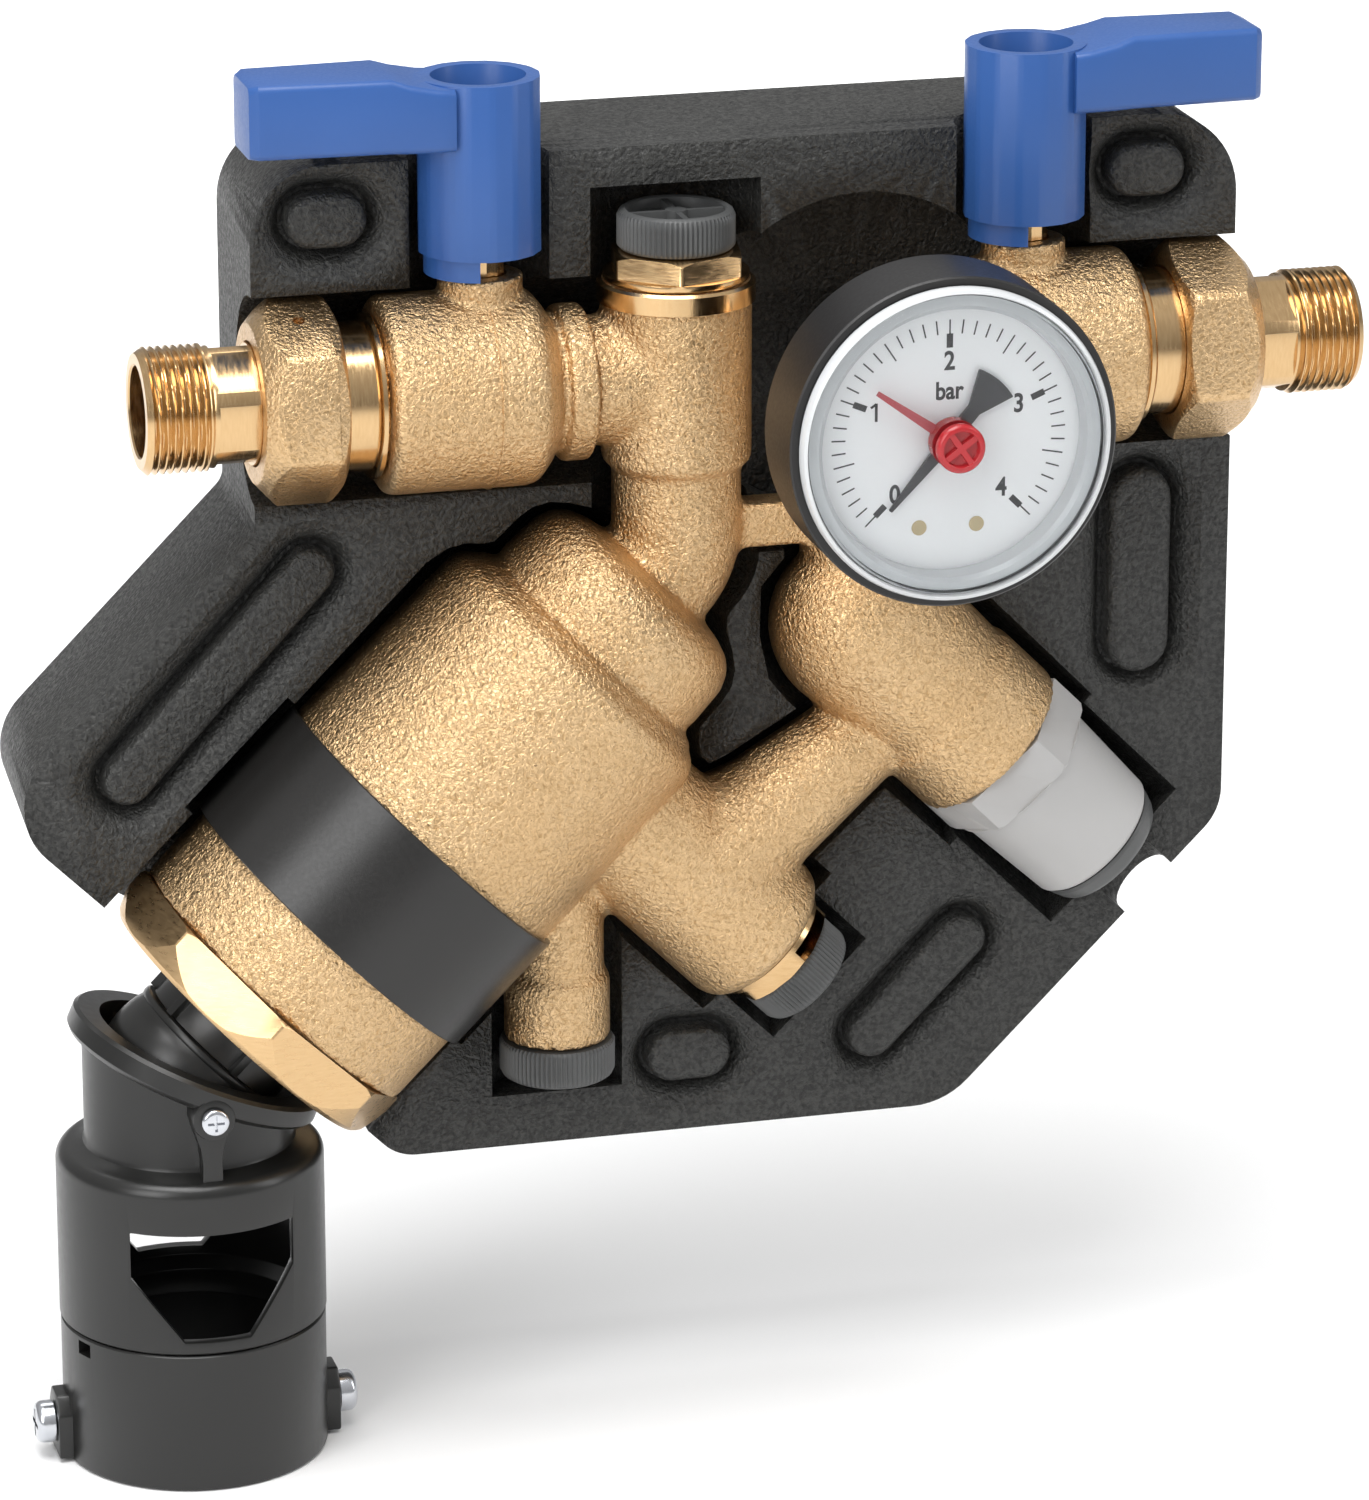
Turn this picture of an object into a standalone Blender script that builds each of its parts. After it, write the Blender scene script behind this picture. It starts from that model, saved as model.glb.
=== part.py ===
# Boiler filling unit: a backflow preventer, a pressure reducing valve with its gauge, two
# ball valves and a tundish, carried in the rear half of a foam insulation shell.
# The origin is on the flat back of the shell, level with the pipe axis and midway between
# the pipe ends. X runs along the pipe, -Y faces the user and Z is up. Lengths are metres.
import math

import bmesh
import bpy
from mathutils import Matrix, Vector

# Fits
GAP = 0.0003
RUN = 0.0004

# Pipe line
PIPE_SPAN = 0.2073
THREAD_R = 0.0104775
PIPE_BORE_R = 0.0075

# Ball valves
VALVE_X = 0.0464
VALVE_R = 0.0165
BALL_R = 0.0105
BALL_BORE_R = 0.0070
STEM_R = 0.0040
COLLAR_R = 0.0130
NECK_R = 0.0108
VALVE_INNER = 0.0171
VALVE_OUTER = 0.0178
END_THREAD_R = 0.0123

# Union nuts
NUT_START = 0.0249
NUT_LENGTH = 0.0136
NUT_FLATS = 0.0300
NUT_TIP_R = 0.0132
NUT_LIP = 0.0033
GASKET_T = 0.0018
TAIL_FLANGE_T = 0.0024
TAIL_FLANGE_R = 0.0118
TAIL_R = 0.0100
TAIL_FLATS = 0.0184
THREAD_LENGTH = 0.0110

# Lever handles
HUB_R = 0.0101
HUB_WALL = 0.0023
HUB_BOTTOM = 0.0235
HUB_FLOOR = 0.0040
HUB_TOP = 0.0524
SKIRT_DROP = 0.0036
ARM_REACH = 0.0390
ARM_BOTTOM = 0.0418
ARM_TOP = 0.0541
ARM_END_WIDTH = 0.0150
ARM_ROOT_WIDTH = 0.0190

# Tee above the backflow preventer
TEE_X = -0.0133
TEE_R = 0.0125
TEE_RING_R = 0.0130
TEE_RING = 0.0030
TEE_TOP = 0.0165
TEE_FOOT = -0.0145
DOWNPIPE_R = 0.0108
TEE_BORE_R = 0.0083

# Backflow preventer chamber, along its own axis from the centre of the bend
CHAMBER_LEVEL = -0.0306
CHAMBER_R = 0.0280
DOME_R = CHAMBER_R - 0.0064
DOME_START = 0.0054
SHOULDER = 0.0210
BARREL = 0.0294
CHAMBER_END = 0.0986
CHAMBER_BORE_R = CHAMBER_R - 0.0045
CHECK_BORE_R = DOME_R - 0.0051
CHECK_BORE_START = 0.0089
CHAMBER_BORE_START = 0.0249
SPIGOT_R = CHAMBER_R - 0.0025
SPIGOT_END = 0.1023
BAND_START = 0.0620
BAND_WIDTH = 0.0229
BAND_T = 0.0010

# Discharge end
NUT8_FLATS = 2.0 * (SPIGOT_R + 0.00175)
NUT8_R = SPIGOT_R + 0.0037
NUT8_LENGTH = 0.0084
NUT8_LIP_R = SPIGOT_R - 0.0055
CUP_FLANGE_T = 0.0022
CUP_R = 0.0135
CUP_BORE_R = 0.0110
CUP_BALL_R = 0.0156

# Tundish
TUNDISH_S = 0.1195
TUNDISH_R = 0.0225
TUNDISH_WALL = 0.0020
TUNDISH_NECK_R = 0.0176
TUNDISH_NECK_WALL = 0.0015
SHOULDER_DROP = 0.0141
SEAM_DROP = 0.0415
RIM_TILT = math.radians(24.0)
RIM_R = 0.0223
RIM_LOW = 0.0002
RIM_HIGH = 0.0048
WINDOW_HALF = 0.0137
WINDOW_TOP = 0.0203
WINDOW_SIDE = 0.0285
WINDOW_LOW = 0.0393
WINDOW_FOOT = 0.0056
COLLAR_OUT_R = 0.02235
DRAIN_PIPE_R = 0.0201
COLLAR_DEPTH = 0.0248
LUG_HEIGHT = 0.0108
LUG_FOOT = 0.0007
LUG_WIDTH = 0.0090
LUG_R = 0.0243
CLAMP_HEAD_R = 0.0036
CLAMP_HEAD_T = 0.0030
CLAMP_SHANK_R = 0.0016

# Drain and test branches
DRAIN_X = -0.0342
DRAIN_R = 0.0090
DRAIN_UPPER_R = 0.0080
DRAIN_COLLAR_Z = -0.1030
DRAIN_END_Z = -0.1141
DRAIN_BORE_R = 0.0050
TEST_S = 0.0384
TEST_R = 0.0139
TEST_END = 0.0600
TEST_BORE_R = 0.0095
TEST_HEX = 0.0042
TEST_FLATS = 0.0190
CAP_R = 0.0098
CAP_LENGTH = 0.0068
CAP_SPIGOT_R = 0.0070
CAP_SPIGOT = 0.0040
CAP_WALL_END = 0.0022

# Strainer plug and its cap
PLUG_FLATS = 0.0206
PLUG_HEX = 0.0047
PLUG_CAP_R = 0.0098
STRAINER_R = 0.0070

# Reducing valve
RISER_X = 0.0187
RISER_R = 0.0103
RISER_BORE_R = 0.0062
REDUCER_LEVEL = -0.0453
REDUCER_R = 0.0153
REDUCER_BALL_R = 0.0155
REDUCER_END = 0.0322
REDUCER_BORE_R = 0.0110
REDUCER_PORT_R = 0.0070
REDUCER_PORT = 0.0080
BRIDGE_BORE_R = 0.0060
# Share of the duct's length, place along the test branch, radius
BRIDGE_STATIONS = (
    (0.00, 0.0400, 0.0142),
    (0.35, 0.0443, 0.0105),
    (0.70, 0.0470, 0.0086),
    (1.00, 0.0485, 0.0074),
)
WEB_TOP = -0.0225
WEB_BOTTOM = -0.0300
WEB_T = 0.0070
BONNET_FLATS = 0.0268
BONNET_BASE = 0.0075
BONNET_R = 0.0135
BONNET_TIP_R = 0.0125
BONNET_END = 0.0591
BONNET_WALL = 0.0024
ADJUSTER_HEAD_T = 0.0034
ADJUSTER_R = 0.0035

# Gauge
GAUGE_R = 0.0272
GAUGE_WALL = 0.0014
GAUGE_BACK = 0.0360
GAUGE_CASE_FRONT = 0.0520
GAUGE_DIAL = 0.0478
DIAL_T = 0.0008
NEEDLE_Y = 0.0490
POINTER_Y = 0.0504
LENS_BACK = 0.0523
LENS_FRONT = 0.0545
LENS_R = 0.0258
LENS_T = 0.0015
POINTER_HUB_R = 0.0040
GAUGE_BOSS = 0.0168
GAUGE_BOSS_R = 0.0095
GAUGE_PORT_R = 0.0040

# Insulation shell
SHELL_DEPTH = 0.0350
SHELL_TOP = 0.0389
SHELL_LEFT = -0.0845
SHELL_RIGHT = 0.0837
SHELL_BOTTOM = -0.1336
SHELL_DRAFT = 0.0016
SHELL_CHAMFER = 0.1682
WING_OFFSET = 0.0563
WING_END_S = 0.1073
CHANNEL_R = 0.0176
SLOT_R = 0.01175
POCKET_GAP = 0.0031
GAUGE_POCKET_R = 0.0288
GAUGE_POCKET_DEPTH = 0.0150
KEY_SLOT_R = 0.0058
KEY_SLOT_DEPTH = 0.0090
RELIEF_DEPTH = 0.0040
RELIEF_MARGIN = 0.0040

PIPE_Y = -SHELL_DEPTH
X_AXIS = Vector((1.0, 0.0, 0.0))
Y_AXIS = Vector((0.0, 1.0, 0.0))
Z_AXIS = Vector((0.0, 0.0, 1.0))
FRONT = -Y_AXIS
DOWN_LEFT = Vector((-1.0, 0.0, -1.0)).normalized()
DOWN_RIGHT = Vector((1.0, 0.0, -1.0)).normalized()

# Colour, roughness and metallic value of each finish
FINISHES = {
    "expanded_foam": ((0.035, 0.036, 0.037), 0.85, 0.0),
    "cast_brass": ((0.62, 0.37, 0.13), 0.38, 1.0),
    "turned_brass": ((0.72, 0.46, 0.20), 0.18, 1.0),
    "chrome_ball": ((0.75, 0.76, 0.77), 0.10, 1.0),
    "white_seal": ((0.80, 0.80, 0.78), 0.45, 0.0),
    "rubber": ((0.02, 0.02, 0.02), 0.70, 0.0),
    "blue_plastic": ((0.05, 0.14, 0.47), 0.40, 0.0),
    "black_plastic": ((0.045, 0.044, 0.042), 0.42, 0.0),
    "grey_plastic": ((0.14, 0.15, 0.155), 0.50, 0.0),
    "light_plastic": ((0.55, 0.56, 0.57), 0.42, 0.0),
    "zinc_steel": ((0.66, 0.67, 0.69), 0.25, 1.0),
    "spring_steel": ((0.45, 0.45, 0.46), 0.30, 1.0),
    "dial_enamel": ((0.86, 0.87, 0.88), 0.45, 0.0),
    "red_plastic": ((0.46, 0.03, 0.04), 0.35, 0.0),
    "clear_plastic": ((0.85, 0.87, 0.88), 0.05, 0.0),
}


def at(x, z, forward=0.0):
    """A point of the pipe's mid plane, moved forward of it."""
    return Vector((x, PIPE_Y - forward, z))


CHAMBER_ORIGIN = at(TEE_X, CHAMBER_LEVEL)
REDUCER_ORIGIN = at(RISER_X, REDUCER_LEVEL)
TEST_ORIGIN = CHAMBER_ORIGIN + DOWN_LEFT * TEST_S
TUNDISH_PIVOT = CHAMBER_ORIGIN + DOWN_LEFT * TUNDISH_S
GAUGE_ORIGIN = at(RISER_X, 0.0)
TUNDISH_SEAM = TUNDISH_PIVOT.z - SEAM_DROP
COLLAR_BOTTOM = TUNDISH_SEAM - COLLAR_DEPTH


def clear_scene():
    for item in list(bpy.data.objects):
        bpy.data.objects.remove(item, do_unlink=True)


def finish_material(name):
    found = bpy.data.materials.get(name)
    if found:
        return found
    colour, roughness, metallic = FINISHES[name]
    made = bpy.data.materials.new(name)
    made.use_nodes = True
    shader = made.node_tree.nodes["Principled BSDF"]
    shader.inputs["Base Color"].default_value = (*colour, 1.0)
    shader.inputs["Roughness"].default_value = roughness
    shader.inputs["Metallic"].default_value = metallic
    return made


def publish(bm, name, finish, pivot=None, smooth_angle=35.0):
    """Turns a bmesh in world places into an object whose origin is the pivot."""
    bmesh.ops.remove_doubles(bm, verts=bm.verts, dist=1e-6)
    bmesh.ops.recalc_face_normals(bm, faces=bm.faces)
    mesh = bpy.data.meshes.new(name)
    bm.to_mesh(mesh)
    bm.free()
    pivot = pivot if pivot is not None else Vector((0.0, 0.0, 0.0))
    mesh.transform(Matrix.Translation(-pivot))
    mesh.shade_smooth()
    mesh.set_sharp_from_angle(angle=math.radians(smooth_angle))
    made = bpy.data.objects.new(name, mesh)
    made.location = pivot
    if finish:
        mesh.materials.append(finish_material(finish))
    bpy.context.scene.collection.objects.link(made)
    return made


def helper(bm, name):
    """A cutter or a lump to fuse: it is hidden and isn't a piece of the unit."""
    made = publish(bm, name, None)
    made.hide_render = True
    made.display_type = "WIRE"
    return made


def combine(target, tool, operation):
    step = target.modifiers.new(tool.name, "BOOLEAN")
    step.operation = operation
    step.solver = "EXACT"
    step.object = tool
    return target


def cut(target, bm, label):
    return combine(target, helper(bm, target.name + "_cut_" + label), "DIFFERENCE")


def fuse(target, bm, label):
    return combine(target, helper(bm, target.name + "_add_" + label), "UNION")


def keep_inside(target, bm, label):
    return combine(target, helper(bm, target.name + "_trim_" + label), "INTERSECT")


def side_of(axis, phase=0.0):
    """A direction square to the axis: in the plane of the unit, where it can be, or turned off it."""
    if abs(axis.dot(Y_AXIS)) > 0.9:
        side = X_AXIS.copy()
    else:
        side = Y_AXIS.cross(axis).normalized()
    return Matrix.Rotation(phase, 3, axis) @ side


def turned(section, origin, axis, steps=14, phase=0.05):
    """Spins a closed section of (along, radius) points round the axis."""
    bm = bmesh.new()
    side = side_of(axis, phase)
    corners = [bm.verts.new(origin + axis * along + side * radius) for along, radius in section]
    for index, corner in enumerate(corners):
        following = corners[(index + 1) % len(corners)]
        on_axis = section[index][1] < 1e-9 and section[(index + 1) % len(corners)][1] < 1e-9
        if not on_axis:
            bm.edges.new((corner, following))
    bmesh.ops.spin(
        bm,
        geom=list(bm.verts) + list(bm.edges),
        cent=origin,
        axis=axis,
        angle=math.tau,
        steps=steps,
        use_merge=True,
    )
    bmesh.ops.remove_doubles(bm, verts=bm.verts, dist=1e-6)
    return bm


def rod(start, end, radius, steps=12, phase=0.05):
    axis = end - start
    length = axis.length
    section = [(0.0, 0.0), (0.0, radius), (length, radius), (length, 0.0)]
    return turned(section, start, axis.normalized(), steps, phase)


def ring(origin, axis, start, end, inner, outer, steps=14):
    return turned([(start, inner), (start, outer), (end, outer), (end, inner)], origin, axis, steps)


def prism(outline, origin, across, up, direction, depth):
    """Extrudes an outline of (across, up) points along a direction."""
    bm = bmesh.new()
    corners = [bm.verts.new(origin + across * a + up * b) for a, b in outline]
    face = bm.faces.new(corners)
    grown = bmesh.ops.extrude_face_region(bm, geom=[face])
    moved = [item for item in grown["geom"] if isinstance(item, bmesh.types.BMVert)]
    bmesh.ops.translate(bm, verts=moved, vec=direction * depth)
    return bm


def block(low, high):
    bm = bmesh.new()
    bmesh.ops.create_cube(bm, size=1.0)
    size = high - low
    bmesh.ops.scale(bm, vec=size, verts=bm.verts)
    bmesh.ops.translate(bm, vec=(low + high) / 2.0, verts=bm.verts)
    return bm


def polygon(sides, flats, turn=0.0):
    """Corners of a regular polygon, by its distance across flats."""
    radius = flats / 2.0 / math.cos(math.pi / sides)
    step = math.tau / sides
    return [(radius * math.cos(step * i + turn), radius * math.sin(step * i + turn)) for i in range(sides)]


def wrench_bar(origin, axis, start, end, sides, flats, turn=0.0):
    """A bar of nut section along an axis, for trimming a turned blank."""
    across = side_of(axis)
    up = axis.cross(across)
    return prism(polygon(sides, flats, turn), origin + axis * start, across, up, axis, end - start)


def rounded(corners, facet=22.5):
    """Rounds the corners of a polygon: each corner is (x, z, radius)."""
    outline = []
    count = len(corners)
    for index, (x, z, radius) in enumerate(corners):
        here = Vector((x, z))
        before = Vector(corners[index - 1][:2])
        after = Vector(corners[(index + 1) % count][:2])
        to_before = (before - here).normalized()
        to_after = (after - here).normalized()
        if radius <= 0.0:
            outline.append(here)
            continue
        half = to_before.angle(to_after) / 2.0
        centre = here + (to_before + to_after).normalized() * (radius / math.sin(half))
        first = here + to_before * (radius / math.tan(half)) - centre
        last = here + to_after * (radius / math.tan(half)) - centre
        sweep = first.angle_signed(last)
        steps = max(1, round(abs(sweep) / math.radians(facet)))
        for step in range(steps + 1):
            turn = -sweep * step / steps
            spoke = Vector((
                first.x * math.cos(turn) - first.y * math.sin(turn),
                first.x * math.sin(turn) + first.y * math.cos(turn),
            ))
            outline.append(centre + spoke)
    return [tuple(point) for point in outline]


def stadium(length, width, margin=0.0, steps=3):
    """A long hole's outline, along its first axis, grown by a margin."""
    radius = width / 2.0 + margin
    reach = length / 2.0 - width / 2.0
    outline = []
    for end, start in ((reach, -math.pi / 2.0), (-reach, math.pi / 2.0)):
        for step in range(steps + 1):
            turn = start + math.pi * step / steps
            outline.append((end + radius * math.cos(turn), radius * math.sin(turn)))
    return outline


def loft(rings):
    """Bridges loops of points into a closed skin."""
    bm = bmesh.new()
    loops = []
    for points in rings:
        corners = [bm.verts.new(point) for point in points]
        edges = [bm.edges.new((corners[i - 1], corners[i])) for i in range(len(corners))]
        loops.append((corners, edges))
    for (_, first), (_, second) in zip(loops, loops[1:]):
        bmesh.ops.bridge_loops(bm, edges=first + second)
    bm.faces.new(loops[0][0])
    bm.faces.new(loops[-1][0])
    return bm


def circle(centre, axis, radius, steps=12, phase=0.09):
    across = side_of(axis, phase)
    up = axis.cross(across)
    turns = [math.tau * i / steps for i in range(steps)]
    return [centre + (across * math.cos(turn) + up * math.sin(turn)) * radius for turn in turns]


def coil(origin, axis, start, end, radius, wire_r, turns, per_turn=6, sides=4):
    """A compression spring as one round wire."""
    across = side_of(axis)
    up = axis.cross(across)
    count = turns * per_turn
    rings = []
    for index in range(count + 1):
        turn = math.tau * index / per_turn
        outward = across * math.cos(turn) + up * math.sin(turn)
        tangent = up * math.cos(turn) - across * math.sin(turn)
        climb = start + wire_r + (end - start - 2.0 * wire_r) * index / count
        centre = origin + axis * climb + outward * radius
        binormal = tangent.cross(outward)
        spokes = [math.tau * i / sides for i in range(sides)]
        rings.append([centre + (outward * math.cos(a) + binormal * math.sin(a)) * wire_r for a in spokes])
    return loft(rings)


# Ball valves, unions and handles

def valve_body(name, centre, out):
    pocket = BALL_R + 0.0006
    section = [
        (-VALVE_INNER, PIPE_BORE_R),
        (-VALVE_INNER, COLLAR_R),
        (-VALVE_INNER + 0.0045, COLLAR_R),
        (-VALVE_INNER + 0.0048, NECK_R + 0.0008),
        (-VALVE_INNER + 0.0095, VALVE_R),
        (VALVE_OUTER - 0.0016, VALVE_R),
        (VALVE_OUTER, VALVE_R - 0.0016),
        (VALVE_OUTER, END_THREAD_R),
        (BALL_R + GAP, END_THREAD_R),
        (BALL_R + GAP, pocket),
        (-BALL_R - GAP, pocket),
        (-BALL_R - GAP, PIPE_BORE_R),
    ]
    body = publish(turned(section, centre, out), name + "_valve_body", "cast_brass")
    boss = rod(centre + Z_AXIS * (VALVE_R - 0.0035), centre + Z_AXIS * (VALVE_R + 0.0030), STEM_R + 0.0030)
    fuse(body, boss, "stem_boss")
    cut(body, rod(centre + Z_AXIS * 0.0040, centre + Z_AXIS * 0.0300, STEM_R + RUN, 14), "stem_bore")


def ball_seat(name, centre, out):
    """A ring whose cone stands just clear of the ball."""
    outer = BALL_R
    lean = 0.0041
    section = [
        (outer, BALL_BORE_R + GAP),
        (outer, outer + GAP),
        (outer - lean, outer + GAP),
        (outer - lean + 0.0020, BALL_BORE_R + GAP),
    ]
    publish(turned(section, centre, out), name, "white_seal")


def valve_end(name, centre, out):
    tail = NUT_START + NUT_LENGTH - NUT_LIP - GAP - TAIL_FLANGE_T - GAP - GASKET_T - GAP
    section = [
        (BALL_R + GAP, PIPE_BORE_R),
        (BALL_R + GAP, BALL_R),
        (BALL_R + 0.0012, BALL_R),
        (BALL_R + 0.0016, END_THREAD_R - GAP),
        (VALVE_OUTER + GAP, END_THREAD_R - GAP),
        (VALVE_OUTER + GAP, END_THREAD_R + 0.0011),
        (VALVE_OUTER + 0.0017, END_THREAD_R + 0.0011),
        (VALVE_OUTER + 0.0020, END_THREAD_R),
        (tail, END_THREAD_R),
        (tail, PIPE_BORE_R),
    ]
    publish(turned(section, centre, out), name + "_valve_end", "turned_brass")
    return tail


def union_nut(name, centre, out):
    corner = NUT_FLATS / 2.0 / math.cos(math.pi / 6.0) - 0.0003
    end = NUT_START + NUT_LENGTH
    lip = end - NUT_LIP
    section = [
        (NUT_START, END_THREAD_R + RUN),
        (NUT_START, corner),
        (end - 0.0035, corner),
        (end, NUT_TIP_R),
        (end, TAIL_R + GAP),
        (lip, TAIL_R + GAP),
        (lip, END_THREAD_R + RUN),
    ]
    nut = publish(turned(section, centre, out), name + "_union_nut", "cast_brass", pivot=centre)
    turn = math.radians(-8.0 * out.x)
    keep_inside(nut, wrench_bar(centre, out, NUT_START - 0.001, end + 0.001, 6, NUT_FLATS, turn), "flats")


def gasket(name, centre, out, tail):
    start = tail + GAP
    end = start + GASKET_T
    publish(ring(centre, out, start, end, PIPE_BORE_R + GAP, TAIL_FLANGE_R), name + "_gasket", "rubber")
    return end + GAP


def tailpiece(name, centre, out, start):
    end = PIPE_SPAN / 2.0 - VALVE_X
    thread = end - THREAD_LENGTH
    section = [
        (start, PIPE_BORE_R),
        (start, TAIL_FLANGE_R),
        (start + TAIL_FLANGE_T, TAIL_FLANGE_R),
        (start + TAIL_FLANGE_T, TAIL_R),
        (thread, TAIL_R),
        (thread + 0.0004, THREAD_R),
        (end - 0.0010, THREAD_R),
        (end, THREAD_R - 0.0010),
        (end, PIPE_BORE_R),
    ]
    piece = publish(turned(section, centre, out), name + "_tailpiece", "turned_brass")
    flats_start = NUT_START + NUT_LENGTH + 0.0004
    flats_end = thread - 0.0004
    for turn in range(6):
        angle = math.tau * turn / 6.0 + math.radians(10.0)
        normal = Y_AXIS * math.cos(angle) + Z_AXIS * math.sin(angle)
        along = out.cross(normal)
        low = centre + out * flats_start + normal * (TAIL_FLATS / 2.0)
        slab = prism([(-0.008, 0.0), (0.008, 0.0), (0.008, 0.004), (-0.008, 0.004)], low, along, normal, out,
                     flats_end - flats_start)
        cut(piece, slab, "flat%d" % turn)


def ball(name, centre, out):
    steps = 6
    turns = [math.pi * i / steps for i in range(steps + 1)]
    section = [(BALL_R * math.cos(turn), BALL_R * math.sin(turn)) for turn in turns]
    piece = publish(turned(section, centre, Z_AXIS, 12), name + "_ball", "chrome_ball", pivot=centre)
    cut(piece, rod(centre - out * 0.02, centre + out * 0.02, BALL_BORE_R, 14), "bore")
    slot = BALL_R - 0.0020
    low = centre + Vector((-0.012, -0.0016, slot))
    high = centre + Vector((0.012, 0.0016, BALL_R + 0.002))
    cut(piece, block(low, high), "slot")


def stem(name, centre):
    top = HUB_BOTTOM + HUB_FLOOR + 0.0008
    section = [
        (BALL_R + GAP, 0.0),
        (BALL_R + GAP, STEM_R),
        (HUB_BOTTOM - GAP, STEM_R),
        (HUB_BOTTOM - GAP, STEM_R - 0.0008),
        (top, STEM_R - 0.0008),
        (top, 0.0),
    ]
    piece = publish(turned(section, centre, Z_AXIS, 12), name + "_stem", "turned_brass", pivot=centre)
    tongue = BALL_R - 0.0020 + GAP
    low = centre + Vector((-STEM_R + 0.0006, -0.0013, tongue))
    high = centre + Vector((STEM_R - 0.0006, 0.0013, BALL_R + 0.0010))
    fuse(piece, block(low, high), "tongue")
    hole_start = centre + Z_AXIS * (top - 0.0070)
    cut(piece, rod(hole_start, centre + Z_AXIS * (top + 0.01), 0.0018, 8), "screw_hole")
    return top


def handle(name, centre, out):
    inner = HUB_R - HUB_WALL
    hole = STEM_R - 0.0008 + GAP
    floor = HUB_BOTTOM + HUB_FLOOR
    section = [
        (HUB_BOTTOM, hole),
        (HUB_BOTTOM, HUB_R),
        (HUB_TOP, HUB_R),
        (HUB_TOP, hole),
    ]
    lever = publish(turned(section, centre, Z_AXIS), name + "_handle", "blue_plastic", pivot=centre)
    stations = [
        (inner - 0.0020, ARM_ROOT_WIDTH, HUB_TOP - 0.0004),
        (HUB_R * 0.85, ARM_ROOT_WIDTH, HUB_TOP - 0.0002),
        (HUB_R + 0.0060, ARM_ROOT_WIDTH - 0.0020, ARM_TOP),
        (ARM_REACH - 0.0014, ARM_END_WIDTH, ARM_TOP),
        (ARM_REACH, ARM_END_WIDTH - 0.0028, ARM_TOP - 0.0006),
    ]
    edge = 0.0012
    rings = []
    for reach, width, top in stations:
        half = width / 2.0
        corners = rounded([
            (-half, ARM_BOTTOM, edge), (half, ARM_BOTTOM, edge), (half, top, edge), (-half, top, edge),
        ], 45.0)
        rings.append([centre + out * reach + Y_AXIS * a + Z_AXIS * b for a, b in corners])
    fuse(lever, loft(rings), "arm")
    skirt_low = HUB_BOTTOM - SKIRT_DROP
    skirt = ring(centre, Z_AXIS, skirt_low, HUB_BOTTOM + 0.0010, inner - 0.0004, HUB_R - 0.0009, 16)
    skirt_part = helper(skirt, name + "_handle_skirt")
    combine(skirt_part, helper(block(
        centre + Vector((-0.02, -0.02, HUB_BOTTOM - 0.01)),
        centre + Vector((-0.0020, 0.0020, HUB_BOTTOM + 0.01)),
    ), name + "_handle_skirt_keep"), "INTERSECT")
    combine(lever, skirt_part, "UNION")
    cut(lever, rod(centre + Z_AXIS * floor, centre + Z_AXIS * (HUB_TOP + 0.01), inner, 16), "well")


def handle_screw(name, centre, top):
    start = top + GAP
    section = [
        (start - 0.0060, 0.0),
        (start - 0.0060, 0.0014),
        (start, 0.0014),
        (start, 0.0048),
        (start + 0.0022, 0.0048),
        (start + 0.0028, 0.0040),
        (start + 0.0028, 0.0),
    ]
    piece = publish(turned(section, centre, Z_AXIS, 10), name + "_handle_screw", "zinc_steel", pivot=centre)
    for turn in range(2):
        reach = Vector((0.0030, 0.0005, 0.0)) if turn else Vector((0.0005, 0.0030, 0.0))
        low = centre + Z_AXIS * (start + 0.0014) - reach
        high = centre + Z_AXIS * (start + 0.0040) + reach
        cut(piece, block(low, high), "cross%d" % turn)


def valve(name, side):
    centre = at(side * VALVE_X, 0.0)
    out = X_AXIS * side
    valve_body(name, centre, out)
    ball_seat(name + "_seat_outer", centre, out)
    ball_seat(name + "_seat_inner", centre, -out)
    tail = valve_end(name, centre, out)
    union_nut(name, centre, out)
    flange = gasket(name, centre, out, tail)
    tailpiece(name, centre, out, flange)
    ball(name, centre, out)
    top = stem(name, centre)
    handle(name, centre, out)
    handle_screw(name, centre, top)


# The casting that carries everything

def chamber_section():
    return [
        (DOME_START, 0.0),
        (DOME_START, DOWNPIPE_R + 0.0008),
        (DOME_START + 0.0010, DOME_R - 0.0060),
        (DOME_START + 0.0028, DOME_R - 0.0025),
        (DOME_START + 0.0065, DOME_R - 0.0006),
        (SHOULDER - 0.0004, DOME_R),
        (SHOULDER + 0.0008, DOME_R + 0.0016),
        (SHOULDER + 0.0038, CHAMBER_R - 0.0020),
        (BARREL, CHAMBER_R - 0.0012),
        (BAND_START, CHAMBER_R),
        (CHAMBER_END, CHAMBER_R),
        (CHAMBER_END, SPIGOT_R),
        (SPIGOT_END, SPIGOT_R),
        (SPIGOT_END, 0.0),
    ]


def bend_rings(radius, steps=3):
    """Loops of the elbow that takes the downpipe into the chamber."""
    bend_r = 0.0120
    tangent = bend_r * math.tan(math.radians(22.5))
    start = CHAMBER_ORIGIN + Z_AXIS * tangent
    hinge = start - X_AXIS * bend_r
    rings = [circle(at(TEE_X, TEE_FOOT + 0.0040), -Z_AXIS, radius)]
    for step in range(steps + 1):
        turn = math.radians(45.0) * step / steps
        spoke = X_AXIS * math.cos(turn) - Z_AXIS * math.sin(turn)
        heading = -Z_AXIS * math.cos(turn) - X_AXIS * math.sin(turn)
        rings.append(circle(hinge + spoke * bend_r, heading, radius))
    rings.append(circle(CHAMBER_ORIGIN + DOWN_LEFT * (DOME_START + 0.0040), DOWN_LEFT, radius))
    return rings


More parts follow.
